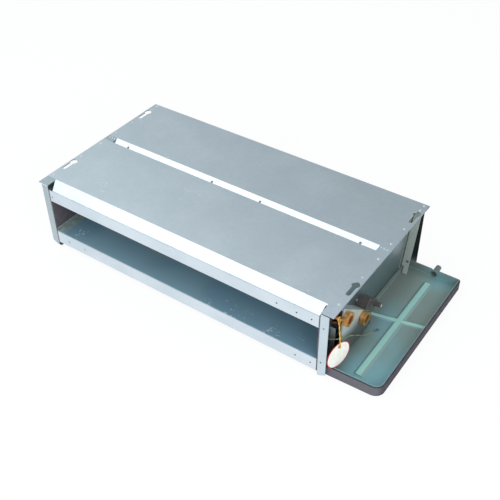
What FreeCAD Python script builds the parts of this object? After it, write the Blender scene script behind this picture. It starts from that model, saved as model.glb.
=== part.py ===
import FreeCAD, Part
import math, os, re
import Sketcher

# Ducted fan coil unit: galvanised casing, slanted finned coil, drain pans, twin double-inlet fans.
# X runs across the unit, Y from the outlet at the front to the return at the rear, Z up, millimetres.
os.makedirs("parts", exist_ok=True)
doc = FreeCAD.newDocument("fan_coil_unit")
sheet = doc.addObject("Spreadsheet::Sheet", "Sizes")

SIZES = [
    ("case_width", 1000, "casing over the two top flanges"),
    ("case_depth", 534, "casing from outlet face to return face"),
    ("case_height", 225, "floor to the face of the top panels"),
    ("metal", 1.2, "thickness of the casing sheet"),
    ("flange_out", 35, "top flange beyond the side wall"),
    ("post_out", 23, "front and rear flanges beyond the side wall"),
    ("post_top", "=case_height-6", "upper end of the front and rear flanges"),
    ("foot_in", 10, "bottom flange turned inwards"),
    ("foot_back", 20, "front end of the right bottom flange"),
    ("fit", 0.2, "side clearance of pieces between the walls"),
    ("wall_out", "=case_width/2-flange_out", "outer face of a side wall"),
    ("wall_in", "=wall_out-metal", "inner face of a side wall"),
    ("panel_under", "=case_height-metal", "underside of the top panels"),
    ("flange_under", "=case_height-2*metal", "underside of the top flanges"),
    ("edge_in", 1, "top panel edge inside the flange edge"),
    ("panel_edge", "=case_width/2-edge_in", "half width of the top panels"),
    ("fold_run", 35, "depth of the sloped front lip"),
    ("fold_drop", 14.3, "height of the sloped front lip"),
    ("deck", "=case_depth-250", "front face of the fan deck"),
    ("rear_start", "=deck+20", "front edge of the rear top panel"),
    ("front_end", "=rear_start-25", "rear edge of the front top panel"),
    ("groove_run", 32, "run of the sloped lip between the panels"),
    ("groove_drop", 14, "drop of the sloped lip between the panels"),
    ("hanger_edge", 14, "hanger hole from the edge of its flange"),
    ("hanger_side", "=case_width/2-hanger_edge", "hanger hole from the middle of the casing"),
    ("hanger_front", 133, "front hanger hole from the outlet face"),
    ("hanger_back", 54, "rear hanger hole from the return face"),
    ("hanger_rear", "=case_depth-hanger_back", "rear hanger hole from the outlet face"),
    ("hanger_hole", 11, "radius of the hanger hole"),
    ("hanger_slot", 6.25, "half width of the hanger slot"),
    ("hanger_run", 39, "hanger hole to the end of its slot"),
    ("outlet_low", 55.5, "lower edge of the outlet"),
    ("outlet_high", "=case_height-55.5", "upper edge of the outlet"),
    ("strip_low", 12.5, "lower edge of the bottom outlet strip"),
    ("strip_high", "=case_height-metal-fold_drop", "upper edge of the top outlet strip"),
    ("strip_fold", 12, "return folds of the outlet strips"),
    ("pilot", 2.3, "radius of the small screw holes"),
    ("liner", 3.6, "thickness of the wall foam"),
    ("top_foam", 5.5, "thickness of the foam under the front top panel"),
    ("pan_metal", 1, "thickness of the drain pan sheet"),
    ("gutter_low", 13, "underside of the gutter"),
    ("gutter_lip", 52, "upper edge of the rear wall of the coil pan"),
    ("pan_end", 12, "height of the ends of the gutter"),
    ("spout_half", 10, "half width of the spout"),
    ("spout_slip", 0.5, "clearance round the spout"),
    ("pan_foam", 8, "foam below the coil pan"),
    ("pan_turn", 8, "upturned ends of the apron"),
    ("coil_tilt", 40, "degrees that the coil leans"),
    ("coil_share", 0.32218, "upper rear corner of the coil as a share of the chamber depth"),
    ("coil_front", "=coil_share*deck", "upper rear corner of the coil from the outlet face"),
    ("coil_top", "=case_height-43", "height of the upper rear corner of the coil"),
    ("coil_clear", 7.9, "lowest corner of the coil above the gutter"),
    ("tube_count", 8, "tubes in a row"),
    ("tube_pitch", "=(coil_top-gutter_low-coil_clear)/(tube_count*sin(coil_tilt)+3*cos(coil_tilt))",
     "spacing of tubes in a row and of the rows"),
    ("tube", 4.76, "tube radius"),
    ("coil_long", "=tube_count*tube_pitch", "finned height along the slope"),
    ("coil_thick", "=3*tube_pitch", "depth of the three rows"),
    ("gutter_start", "=coil_front+58.5", "front of the gutter of the coil pan"),
    ("apron_end", "=gutter_start-42", "rear end of the flat apron of the coil pan"),
    ("gutter_end", "=coil_front+coil_long*cos(coil_tilt)+17.8", "rear face of the coil pan"),
    ("spout_at", "=gutter_end-36", "middle of the spout of the coil pan"),
    ("coil_left", "=wall_in-35.8", "left end plate from the middle of the casing"),
    ("coil_right", "=wall_in-8.8", "right end plate from the middle of the casing"),
    ("plate", 1.5, "thickness of the coil end plates"),
    ("stub", 2, "straight part of a tube bend"),
    ("header", 8, "header tube radius"),
    ("header_out", "=wall_out+20", "header axis from the middle of the casing"),
    ("feeder", 3.5, "radius of the feeder tubes"),
    ("vent_neck", "=wall_out+37", "end of the air vent neck from the middle of the casing"),
    ("vent_at", -52, "upper end of the small pipe along the slope of the coil"),
    ("vent_pipe", 2.5, "radius of the small pipe to the air vent"),
    ("cover_long", 167, "header cover from front to rear"),
    ("cover_front", "=coil_front-33.5", "front face of the header cover"),
    ("cover_rear", "=cover_front+cover_long", "rear face of the header cover"),
    ("cover_top", "=case_height-18", "front upper corner of the header cover"),
    ("cover_step", "=cover_top-cover_long*tan(coil_tilt)", "rear upper corner of the header cover"),
    ("cover_tab", 13, "tab that is left beside the wall in the open front of the cover"),
    ("cover_tab_top", 126, "upper end of that tab"),
    ("cover_low", 16, "open lower edge of the header cover"),
    ("cover_out", 32, "depth of the header cover"),
    ("cover_face", "=wall_out+cover_out", "outer face of the header cover"),
    ("union_bore", 12.1, "bore radius of the water connections"),
    ("union_hex", 21.9, "corner radius of the hexagon of a union"),
    ("union_thick", 13, "thickness of the hexagon"),
    ("union_start", "=cover_face+1.5", "inner face of the hexagon"),
    ("union_wall", 2.4, "wall of the union sleeve"),
    ("box_start", 170, "terminal box along the slope of the cover"),
    ("box_long", 66, "terminal box length"),
    ("box_high", 31, "terminal box height above the slope"),
    ("box_out", 28, "terminal box depth from the wall"),
    ("box_wall", 2, "wall of the terminal box"),
    ("box_lid", 2.5, "thickness of the terminal box lid"),
    ("gland", 6.5, "cable gland radius"),
    ("tray_left", "=wall_out+1", "side pan against the side wall"),
    ("tray_right", "=wall_out+172", "outer face of the side pan foam"),
    ("tray_front", 12, "front face of the side pan foam"),
    ("tray_rear", "=case_depth-22", "rear face of the side pan foam"),
    ("tray_skew", 6, "front edge drift across the side pan"),
    ("tray_foam", 4.5, "thickness of the side pan foam"),
    ("tray_rim", 32.5, "rim of the side pan"),
    ("tray_wall", 28, "upper edge of the side pan next to the casing"),
    ("tray_round", 28, "front corner radius of the side pan"),
    ("tray_round_rear", 9, "rear corner radius of the side pan"),
    ("rib_across", "=wall_out+91", "long rib of the side pan, also the drain axis"),
    ("rib_along", "=(tray_front+tray_rear)/2+24", "middle of the cross rib of the side pan"),
    ("rib_skew", 17, "drift of the cross rib to either side of its middle"),
    ("rib_half", 15, "half width of a rib"),
    ("rib_high", 3.5, "height of a rib"),
    ("drain_up", 18, "height of the drain spigot axis"),
    ("drain", 8.5, "outer radius of the drain spigot"),
    ("drain_wall", 1.5, "wall of the drain spigot"),
    ("drain_end", "=tray_rear+28", "free end of the drain spigot"),
    ("strut_foot", "=case_depth-65.5", "strut at floor level from the outlet face"),
    ("strut_head", "=case_depth-16", "strut at the top flange from the outlet face"),
    ("strut_low", "=tray_foam+pan_metal+1.5", "lower end of the strut"),
    ("strut_out", 23, "outward leg of the strut"),
    ("strut_lap", 16, "leg of the strut on the wall"),
    ("deck_top", "=case_height-12.5", "upper edge of the fan deck"),
    ("fan_side", "=wall_in/2+3.1", "fan from the middle of the casing"),
    ("fan_back", "=deck+111", "fan axis from the outlet face"),
    ("fan_up", "=(case_height-1)/2", "height of the fan axis"),
    ("wheel", "=fan_up-39", "fan wheel radius"),
    ("wheel_half", 93, "half width of a fan wheel"),
    ("wheel_eye", "=wheel-13", "inner radius of the blades"),
    ("blade_count", 36, "blades of a wheel"),
    ("house_half", 101, "half width of a fan housing"),
    ("house_metal", 1, "housing sheet"),
    ("tongue_gap", 5, "wheel to the narrowest place of the scroll"),
    ("scroll_grow", 20, "growth of the scroll over its turn"),
    ("scroll_small", "=wheel+tongue_gap", "smallest scroll radius"),
    ("scroll_big", "=scroll_small+scroll_grow", "largest scroll radius"),
    ("blow_low", "=fan_up+14", "lower edge of the fan discharge"),
    ("inlet", "=wheel-12", "radius of the fan inlets"),
    ("motor", 48, "motor radius"),
    ("motor_half", 52, "half length of the motor"),
    ("shaft", 5, "shaft radius"),
    ("shaft_slip", 0.06, "running clearance round the shaft"),
    ("cradle_half", 40, "half width of the motor cradle"),
    ("cradle_low", "=fan_up-motor-20", "underside of the motor cradle"),
    ("filter_front", "=case_depth-15", "front face of the filter"),
    ("filter_thick", 10, "filter thickness"),
    ("filter_low", 36, "lower edge of the filter"),
    ("filter_high", "=case_height-20", "upper edge of the filter"),
    ("filter_slip", 1.2, "clearance beside and above the filter"),
    ("filter_seat", 0.3, "filter to the web of the lower rail"),
    ("filter_bar", 13, "width of the filter frame bars"),
    ("screw", 4, "corner radius of the screw heads"),
    ("screw_high", 1.6, "height of the screw heads"),
    ("tag_radius", 40.5, "hang tag radius"),
    ("tag_hole", 3.2, "radius of the hole in the tag"),
    ("origin_x", "=-(tray_right-case_width/2)/2", "moves the middle of the bounding box to zero"),
    ("origin_y", "=-drain_end/2", "moves the middle of the bounding box to zero"),
]
names = {row[0] for row in SIZES}
for number, (name, value, note) in enumerate(SIZES, 1):
    sheet.set(f"A{number}", note)
    sheet.set(f"B{number}", str(value))
    sheet.setAlias(f"B{number}", name)
doc.recompute()

PLANE = {"x": "YZ_Plane", "y": "XZ_Plane", "z": "XY_Plane"}
parts = {}


def full(text):
    """Expression with every size name pointing at the sheet."""
    return re.sub(r"[a-z_]+", lambda m: "Sizes." + m[0] if m[0] in names else m[0], str(text))


def val(text):
    """Number that an expression gives now."""
    got = sheet.evalExpression(full(text))
    return float(getattr(got, "Value", got))


def bind(obj, prop, text):
    obj.setExpression(prop, full(text))


def place(obj, shift_x="0", shift_y="0", shift_z="0", tilt=None):
    """Casing coordinates to part coordinates, and the lean of the coil where asked."""
    if tilt:
        obj.Placement = FreeCAD.Placement(FreeCAD.Vector(0, 0, 0),
                                          FreeCAD.Rotation(FreeCAD.Vector(1, 0, 0), -val(tilt)))
        bind(obj, "Placement.Rotation.Angle", f"-({tilt})*1")
    bind(obj, "Placement.Base.x", f"origin_x+({shift_x})")
    bind(obj, "Placement.Base.y", f"origin_y+({shift_y})")
    bind(obj, "Placement.Base.z", shift_z)
    return obj


def new_body(label, shift_x="0", shift_y="0", shift_z="0", tilt=None, keep=True):
    body = doc.addObject("PartDesign::Body", label)
    body.Label = label
    place(body, shift_x, shift_y, shift_z, tilt)
    if keep:
        parts[label] = body
    return body


def sketch(body, axis, at, loops):
    """Closed loops on an origin plane. A loop is a list of points or (u, v, radius)."""
    sk = body.newObject("Sketcher::SketchObject", "outline")
    plane = [p for p in body.Origin.OriginFeatures if p.Role == PLANE[axis]][0]
    sk.AttachmentSupport = [(plane, "")]
    sk.MapMode = "FlatFace"
    bind(sk, "AttachmentOffset.Base.z", f"-({at})" if axis == "y" else at)

    def pin(index, point, across, along):
        for kind, text in (("DistanceX", across), ("DistanceY", along)):
            c = sk.addConstraint(Sketcher.Constraint(kind, -1, 1, index, point, val(text)))
            sk.setExpression(f"Constraints[{c}]", full(text))

    for loop in loops:
        first = sk.GeometryCount
        if isinstance(loop, tuple):
            across, along, radius = loop
            centre = FreeCAD.Vector(val(across), val(along), 0)
            sk.addGeometry(Part.Circle(centre, FreeCAD.Vector(0, 0, 1), val(radius)), False)
            c = sk.addConstraint(Sketcher.Constraint("Radius", first, val(radius)))
            sk.setExpression(f"Constraints[{c}]", full(radius))
            pin(first, 3, across, along)
            continue
        pts = [FreeCAD.Vector(val(a), val(b), 0) for a, b in loop]
        count = len(pts)
        for i in range(count):
            sk.addGeometry(Part.LineSegment(pts[i], pts[(i + 1) % count]), False)
        for i in range(count):
            sk.addConstraint(Sketcher.Constraint("Coincident", first + i, 2,
                                                 first + (i + 1) % count, 1))
        for i, (a, b) in enumerate(loop):
            pin(first + i, 1, a, b)
    return sk


def pad(body, axis, lo, hi, *loops):
    """Adds material between lo and hi along an axis."""
    sk = sketch(body, axis, lo, loops)
    got = body.newObject("PartDesign::Pad", "pad")
    got.Profile = sk
    got.Reversed = axis == "y"
    bind(got, "Length", f"({hi})-({lo})")
    return got


def cut(body, axis, lo, hi, *loops):
    """Removes material between lo and hi along an axis."""
    sk = sketch(body, axis, lo, loops)
    got = body.newObject("PartDesign::Pocket", "cut")
    got.Profile = sk
    got.Reversed = axis != "y"
    bind(got, "Length", f"({hi})-({lo})")
    return got


def loft(body, axis, ends, first, last):
    """Adds material from a section at one end to a like section at the other."""
    got = body.newObject("PartDesign::AdditiveLoft", "loft")
    near, far = (sketch(body, axis, at, [loop]) for at, loop in zip(ends, (first, last)))
    got.Profile, got.Sections, got.Ruled = near, [far], True
    return got


def rect(left, low, right, high):
    return [(left, low), (right, low), (right, high), (left, high)]


def mirror(source, label):
    """Left hand copy of a right hand piece."""
    got = doc.addObject("Part::Mirroring", label)
    got.Label = label
    got.Source = source
    got.Normal = (1, 0, 0)
    got.Base = (0, 0, 0)
    bind(got, "Base.x", "origin_x")
    parts[label] = got
    return got


def cylinder(axis, radius, lo, hi, first, second):
    """Part cylinder along x, y or z; first and second are the other two coordinates in order."""
    got = doc.addObject("Part::Cylinder", "round")
    bind(got, "Radius", radius)
    bind(got, "Height", f"({hi})-({lo})")
    turn = {"x": ((0, 1, 0), 90), "y": ((1, 0, 0), -90), "z": ((0, 0, 1), 0)}[axis]
    got.Placement = FreeCAD.Placement(FreeCAD.Vector(), FreeCAD.Rotation(FreeCAD.Vector(*turn[0]), turn[1]))
    where = {"x": (lo, first, second), "y": (first, lo, second), "z": (first, second, lo)}[axis]
    for letter, text in zip("xyz", where):
        bind(got, f"Placement.Base.{letter}", text)
    return got


def join(label, pieces, shift_x="0", shift_y="0", shift_z="0", tilt=None, keep=True):
    got = doc.addObject("Part::MultiFuse", label)
    got.Label = label
    got.Shapes = pieces
    place(got, shift_x, shift_y, shift_z, tilt)
    if keep:
        parts[label] = got
    return got


def keyholes(body, lo, hi, side, where):
    """Hanger hole with a slot running to the front."""
    cut(body, "z", lo, hi, *[(f"{side}*hanger_side", y, "hanger_hole") for y in where])
    cut(body, "z", lo, hi, *[rect(f"{side}*hanger_side-hanger_slot", f"{y}-hanger_run",
                                  f"{side}*hanger_side+hanger_slot", y) for y in where])
    cut(body, "z", lo, hi, *[(f"{side}*hanger_side", f"{y}-hanger_run", "hanger_slot") for y in where])


# Side plates: one folded sheet each, wall, top flange, bottom flange and two upright flanges.
def side_plate(label, keep):
    body = new_body(label, keep=keep)
    pad(body, "y", "0", "case_depth",
        [("wall_out-foot_in", "0"), ("wall_out", "0"), ("wall_out", "flange_under"),
         ("case_width/2", "flange_under"), ("case_width/2", "panel_under"), ("wall_in", "panel_under"),
         ("wall_in", "metal"), ("wall_out-foot_in", "metal")])
    pad(body, "y", "0", "metal",
        [("wall_out-metal/2", "0"), ("wall_out+6", "0"), ("wall_out+post_out", "9"),
         ("wall_out+post_out", "post_top"), ("wall_out-metal/2", "post_top")])
    pad(body, "y", "case_depth-metal", "case_depth",
        rect("wall_out-metal/2", "0", "wall_out+post_out", "post_top"))
    keyholes(body, "flange_under-1", "case_height", 1, ["hanger_front", "hanger_rear"])
    cut(body, "y", "-1", "metal+1", ("wall_out+9.3", "outlet_high+4.5", "pilot"),
        ("wall_out+8", "outlet_low-6", "pilot"))
    return body


blank = side_plate("side_plate_blank", False)
mirror(blank, "side_plate_left")
right = side_plate("side_plate_right", True)
cut(right, "x", "wall_in-1", "wall_out+1",
    [("cover_front+4", "cover_low+14"), ("cover_rear-7", "cover_low+14"), ("cover_rear-7", "cover_step"),
     ("cover_front+4", "cover_step+(cover_long-11)*tan(coil_tilt)")])
cut(right, "z", "-1", "metal+1", rect("wall_out-foot_in-1", "-1", "wall_in", "foot_back"))
cut(right, "x", "wall_in-1", "wall_out+1",
    rect("filter_front-filter_slip", "filter_low-filter_seat",
         "filter_front+filter_thick+filter_slip", "filter_high+filter_slip"))
cut(right, "x", "wall_in-1", "wall_out+1",
    rect("spout_at-spout_half-spout_slip", "gutter_low-spout_slip", "spout_at+spout_half+spout_slip",
         "gutter_low+pan_end"))

# Slanted struts on the outside of the walls.
strut = new_body("side_strut_right")
lean = "(strut_head-strut_foot)/flange_under"
pad(strut, "x", "wall_out", "wall_out+strut_out",
    [(f"strut_foot+{lean}*strut_low", "strut_low"), (f"strut_foot+metal+{lean}*strut_low", "strut_low"),
     ("strut_head+metal", "flange_under"), ("strut_head", "flange_under")])
pad(strut, "x", "wall_out", "wall_out+metal",
    [(f"strut_foot-strut_lap+{lean}*strut_low", "strut_low"),
      (f"strut_foot+metal+{lean}*strut_low", "strut_low"),
     ("strut_head+metal", "flange_under"), ("strut_head-strut_lap", "flange_under")])
cut(strut, "x", "wall_out-1", "wall_out+8",
    rect("strut_foot-strut_lap-2", "strut_low-1", "strut_foot+20", "tray_wall+2"))
cut(strut, "y", "strut_foot-5", "strut_foot+40", ("wall_out+15", "48", "2.5"))
mirror(strut, "side_strut_left")

# Front top panel with its sloped lip over the outlet.
panel = new_body("front_top_panel")
pad(panel, "z", "panel_under", "case_height", rect("-panel_edge", "fold_run", "panel_edge", "front_end"))
pad(panel, "x", "-(wall_in-fit)", "wall_in-fit",
    [("fold_run", "case_height"), ("1", "strip_high+1.4"), ("1.5", "strip_high"), ("14", "strip_high"),
     ("14", "strip_high+metal"), ("3.4", "strip_high+metal"), ("fold_run+0.5", "panel_under")])
pad(panel, "x", "-(wall_in-fit)", "wall_in-fit",
    rect("front_end-metal", "case_height-groove_drop/groove_run*(rear_start-front_end)+0.2",
         "front_end", "panel_under+0.1"))
cut(panel, "z", "strip_high-1", "panel_under-0.6",
    [("-wall_in-1", "fold_run-1.5"), ("-wall_in-1", "-1"), ("-wall_in+18", "-1")])
cut(panel, "z", "strip_high-1", "panel_under-0.6", rect("wall_in-liner", "-1", "wall_in+1", "fold_run-1.5"))
for side in (-1, 1):
    keyholes(panel, "panel_under-1", "case_height+1", side, ["hanger_front"])

# Rear top panel with the sloped lip that runs under the front panel.
panel = new_body("rear_top_panel")
pad(panel, "z", "panel_under", "case_height", rect("-panel_edge", "rear_start", "panel_edge", "case_depth"))
pad(panel, "x", "-(wall_in-fit)", "wall_in-fit",
    [("rear_start", "case_height"), ("rear_start-groove_run", "case_height-groove_drop"),
     ("rear_start-groove_run+0.5", "panel_under-groove_drop"), ("rear_start+0.5", "panel_under")])
for side in (-1, 1):
    keyholes(panel, "panel_under-1", "case_height+1", side, ["hanger_rear"])

# Outlet strips between the walls.
strip = new_body("outlet_top_strip")
half = "wall_in-fit"
short = "wall_in-liner-fit"
pad(strip, "x", f"-({short})", short,
    [("0", "outlet_high"), ("strip_fold", "outlet_high"), ("strip_fold", "outlet_high+metal"),
     ("metal", "outlet_high+metal"), ("metal", "strip_high-metal"), ("strip_fold+8", "strip_high-metal"),
     ("strip_fold+8", "strip_high"), ("0", "strip_high")])
cut(strip, "y", "-1", "metal+1",
    *[(x, "outlet_high+17.5", "pilot") for x in ("-wall_in+12", "wall_in-127", "wall_in-68", "wall_in-24")])
cut(strip, "z", "strip_high-metal-1", "strip_high+1",
    rect("-wall_in-1", "metal", "-wall_in+19", "strip_fold+9"))
strip = new_body("outlet_bottom_strip")
pad(strip, "x", f"-({short})", short,
    [("0", "strip_low"), ("strip_fold", "strip_low"), ("strip_fold", "strip_low+metal"),
     ("metal", "strip_low+metal"), ("metal", "outlet_low-metal"), ("strip_fold", "outlet_low-metal"),
     ("strip_fold", "outlet_low"), ("0", "outlet_low")])
cut(strip, "y", "-1", "metal+1",
    *[(x, "strip_low+19.5", "pilot") for x in ("-wall_in+49", "-wall_in+113", "wall_in-67", "wall_in-21")])

# Bottom panel, resting on the inward flanges.
panel = new_body("bottom_panel")
pad(panel, "z", "metal", "2*metal", rect(f"-({half})", "strip_fold+1", half, "case_depth-metal"))
pad(panel, "y", "strip_fold+1", "strip_fold+1+metal", rect(f"-({half})", "metal", half, "strip_low+18"))

# Return face: two strips and the rails of the filter.
strip = new_body("return_top_strip")
pad(strip, "x", f"-({half})", half,
    [("case_depth-metal", "filter_high-2"), ("case_depth", "filter_high-2"), ("case_depth", "panel_under"),
     ("filter_front+2", "panel_under"), ("filter_front+2", "flange_under"),
      ("case_depth-metal", "flange_under")])
strip = new_body("return_bottom_strip")
pad(strip, "x", f"-({half})", half,
    [("case_depth-metal", "2*metal"), ("case_depth", "2*metal"), ("case_depth", "filter_low+2"),
     ("case_depth-metal", "filter_low+2")])
front = "filter_front-filter_slip"
back = "filter_front+filter_thick+filter_slip"
for label, low, high, web in (("filter_rail_bottom", "filter_low-filter_seat-metal", "filter_low+8", -1),
                              ("filter_rail_top", "filter_high-8", "filter_high+filter_slip+metal", 1)):
    rail = new_body(label)
    pad(rail, "x", f"-({half})", half, rect(f"{front}-metal", low, f"{back}+metal", high))
    inner = (rect(front, f"{low}+metal", back, f"{high}+1") if web < 0 else
             rect(front, f"{low}-1", back, f"{high}-metal"))
    cut(rail, "x", f"-({half})-1", f"{half}+1", inner)
    if web < 0:
        pad(rail, "x", f"-({half})", half, rect(f"{front}-metal", "2*metal", front, f"{low}+metal/2"))
    else:
        pad(rail, "x", f"-({half})", half, rect(f"{front}-metal", f"{high}-metal/2", front, "panel_under"))

# Sliding filter: channel frame with a pull tab, and the mesh in it.
frame_end = "wall_out+1"
frame = new_body("filter_frame")
pad(frame, "y", "filter_front", "filter_front+filter_thick",
    rect("-(wall_in-fit-1)", "filter_low", frame_end, "filter_high"))
cut(frame, "y", "filter_front-1", "filter_front+filter_thick+1",
    rect("-(wall_in-fit-1)+filter_bar", "filter_low+filter_bar", f"{frame_end}-filter_bar",
         "filter_high-filter_bar"))
pad(frame, "z", "(filter_low+filter_high)/2-17", "(filter_low+filter_high)/2+17",
    rect(f"{frame_end}-0.5", "filter_front+3", f"{frame_end}+11", "filter_front+6"))
mesh = new_body("filter_mesh")
pad(mesh, "y", "filter_front+4", "filter_front+6",
    rect("-(wall_in-fit-1)+filter_bar", "filter_low+filter_bar", f"{frame_end}-filter_bar",
         "filter_high-filter_bar"))

# Foam on the walls of the outlet chamber and below the front top panel.
corner_y = "(coil_front-coil_thick*sin(coil_tilt))"
corner_z = "(coil_top-coil_thick*cos(coil_tilt))"
foam_low = "(outlet_low+metal+pan_turn+2)"
foam_high = "strip_high-1"
foam = new_body("wall_foam_right")
pad(foam, "x", "wall_in-liner", "wall_in",
    [("0.4", "strip_low"), ("1.6", "strip_low"), ("1.6", foam_low),
     (f"{corner_y}+({corner_z}-{foam_low})/tan(coil_tilt)-12", foam_low),
     (f"{corner_y}-9", f"{corner_z}-1"), ("coil_front-9", "coil_top-1"), ("coil_front-9", foam_high),
     ("0.4", foam_high)])
mirror(foam, "wall_foam_left")
foam = new_body("top_foam_sheet")
pad(foam, "z", "panel_under-top_foam", "panel_under",
    rect("-(wall_in-fit-4)", "fold_run+8", "wall_in-fit-4", "rear_start-groove_run-8"))

# Drain pan below the coil: apron, slope, gutter and upturned ends.
pan = new_body("coil_drain_pan")
pan_half = "(wall_in-fit)"
rise = "(outlet_low-gutter_low)"
pad(pan, "x", f"-{pan_half}", pan_half,
    [("metal+0.6", "outlet_low"), ("apron_end", "outlet_low"), ("gutter_start", "gutter_low"),
     ("gutter_end", "gutter_low"), ("gutter_end", "gutter_lip"), ("gutter_end-pan_metal", "gutter_lip"),
     ("gutter_end-pan_metal", "gutter_low+pan_metal"), ("gutter_start+0.4", "gutter_low+pan_metal"),
     ("apron_end+0.4", "outlet_low+pan_metal"), ("metal+0.6", "outlet_low+pan_metal")])
ends = [("metal+0.6", "outlet_low"), ("apron_end", "outlet_low"), ("gutter_start", "gutter_low"),
        ("gutter_end", "gutter_low"), ("gutter_end", "gutter_low+pan_end"),
        ("gutter_start+6", "gutter_low+pan_end"), ("apron_end+10", "outlet_low+pan_metal+pan_turn"),
        ("metal+0.6", "outlet_low+pan_metal+pan_turn")]
pad(pan, "x", f"{pan_half}-pan_metal", pan_half, ends)
pad(pan, "x", f"-{pan_half}", f"-{pan_half}+pan_metal", ends)
spout_out = "tray_left+pan_metal+6"
pad(pan, "x", f"{pan_half}-pan_metal", spout_out,
    [("spout_at-spout_half", "gutter_low"), ("spout_at+spout_half", "gutter_low"),
     ("spout_at+spout_half", "gutter_low+pan_end-2"),
     ("spout_at+spout_half-pan_metal", "gutter_low+pan_end-2"),
     ("spout_at+spout_half-pan_metal", "gutter_low+pan_metal"),
     ("spout_at-spout_half+pan_metal", "gutter_low+pan_metal"),
     ("spout_at-spout_half+pan_metal", "gutter_low+pan_end-2"),
     ("spout_at-spout_half", "gutter_low+pan_end-2")])
cut(pan, "x", f"{pan_half}-pan_metal-1", f"{pan_half}+1",
    rect("spout_at-spout_half+pan_metal", "gutter_low+pan_metal", "spout_at+spout_half-pan_metal",
         "gutter_low+pan_end-2"))
foam = new_body("pan_insulation")
pad(foam, "x", f"-({pan_half}-6)", f"{pan_half}-6",
    [("gutter_start", "gutter_low-pan_foam"), ("gutter_end", "gutter_low-pan_foam"),
     ("gutter_end", "gutter_low"),
     ("gutter_start", "gutter_low"), ("apron_end", "outlet_low"), ("strip_fold+4", "outlet_low"),
     ("strip_fold+4", "outlet_low-pan_foam"), ("apron_end-4", "outlet_low-pan_foam")])

# Coil in its own leaning frame: second axis down the slope, third towards the fans.
lean = dict(shift_y="coil_front", shift_z="coil_top", tilt="coil_tilt")
fins = new_body("coil_fin_pack", **lean)
pad(fins, "x", "-coil_left", "coil_right", rect("0", "-coil_thick", "coil_long", "0"))
end = new_body("coil_end_plate_left", **lean)
pad(end, "x", "-coil_left-plate", "-coil_left", rect("-2", "-coil_thick-2", "coil_long+2", "2"))
pad(end, "x", "-wall_in", "-coil_left", rect("-2", "2-plate", "coil_long-10", "2"))
pad(end, "x", "-wall_in", "-coil_left", rect("-2", "-coil_thick-2", "-2+plate", "2"))
end = new_body("coil_end_plate_right", **lean)
pad(end, "x", "coil_right", "coil_right+plate", rect("-2", "-coil_thick-2", "coil_long+2", "2"))
pad(end, "x", "coil_right", "wall_in", rect("-2", "2-plate", "coil_long-10", "2"))
pad(end, "x", "coil_right", "wall_in", rect("-2", "-coil_thick-2", "-2+plate", "2"))

baffle = new_body("coil_baffle")
pad(baffle, "y", "coil_front", "coil_front+metal",
    rect(f"-({half})", "coil_top+4", half, "panel_under-top_foam"))
pad(baffle, "z", "coil_top+4", "coil_top+4+metal",
    rect(f"-({half})", "coil_front-9", half, "coil_front+metal"))


def bend(across, along, away, turn, big):
    """Half ring of tube with two stubs; turn 0 lies down the slope, 90 across the rows."""
    ring = doc.addObject("Part::Torus", "bend")
    bind(ring, "Radius1", big)
    bind(ring, "Radius2", "tube")
    ring.Angle3 = 180
    side = 1 if not across.startswith("-") else -1
    # the ring lies in its own plane with the open side towards the end plate
    first = FreeCAD.Rotation(FreeCAD.Vector(0, 0, 1), -90 * side)
    second = FreeCAD.Rotation(FreeCAD.Vector(1, 0, 0), turn)
    ring.Placement = FreeCAD.Placement(FreeCAD.Vector(), second.multiply(first))
    for letter, text in zip("xyz", (f"{across}+{side}*stub", along, away)):
        bind(ring, f"Placement.Base.{letter}", text)
    lo, hi = (across, f"{across}+stub") if side > 0 else (f"{across}-stub", across)
    if turn == 0:
        ends_at = [(f"({along})-tube_pitch/2", away), (f"({along})+tube_pitch/2", away)]
    else:
        ends_at = [(along, f"({away})-tube_pitch/2"), (along, f"({away})+tube_pitch/2")]
    return [ring] + [cylinder("x", "tube", lo, hi, a, b) for a, b in ends_at]


rows = ["-tube_pitch*0.5", "-tube_pitch*1.5", "-tube_pitch*2.5"]
pieces = []
for away in rows:
    for i in range(int(val("tube_count")) // 2):
        pieces += bend("-coil_left-plate", f"tube_pitch*{2 * i + 1}", away, 0, "tube_pitch/2")
join("coil_bends_left", pieces, **lean)
pieces = []
for i in range(int(val("tube_count")) // 2):
    pieces += bend("coil_right+plate", f"tube_pitch*{2 * i + 1.5}", "-tube_pitch*2", 90, "tube_pitch/2")
    pieces += bend("coil_right+plate", f"tube_pitch*{2 * i + 0.5}", "-tube_pitch", 90, "tube_pitch/2")
join("coil_bends_right", pieces, **lean)


def leg(radius, start, finish):
    """Cylinder between two points of the leaning frame, computed so that it ends on both."""
    a, b = (FreeCAD.Vector(*[val(c) for c in point]) for point in (start, finish))
    got = doc.addObject("Part::Cylinder", "leg")
    bind(got, "Radius", radius)
    got.Height = (b - a).Length
    got.Placement = FreeCAD.Placement(a, FreeCAD.Rotation(FreeCAD.Vector(0, 0, 1), b - a))
    return got


face = "coil_right+plate"


def feeder(along, row, deep):
    """Tube from the end plate to a header: a straight start, then across to the header's depth."""
    return [cylinder("x", "feeder+0.2", face, f"{face}+3.5", along, row),
            leg("feeder", (f"{face}+2", along, row), ("header_out", along, deep))]


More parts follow.
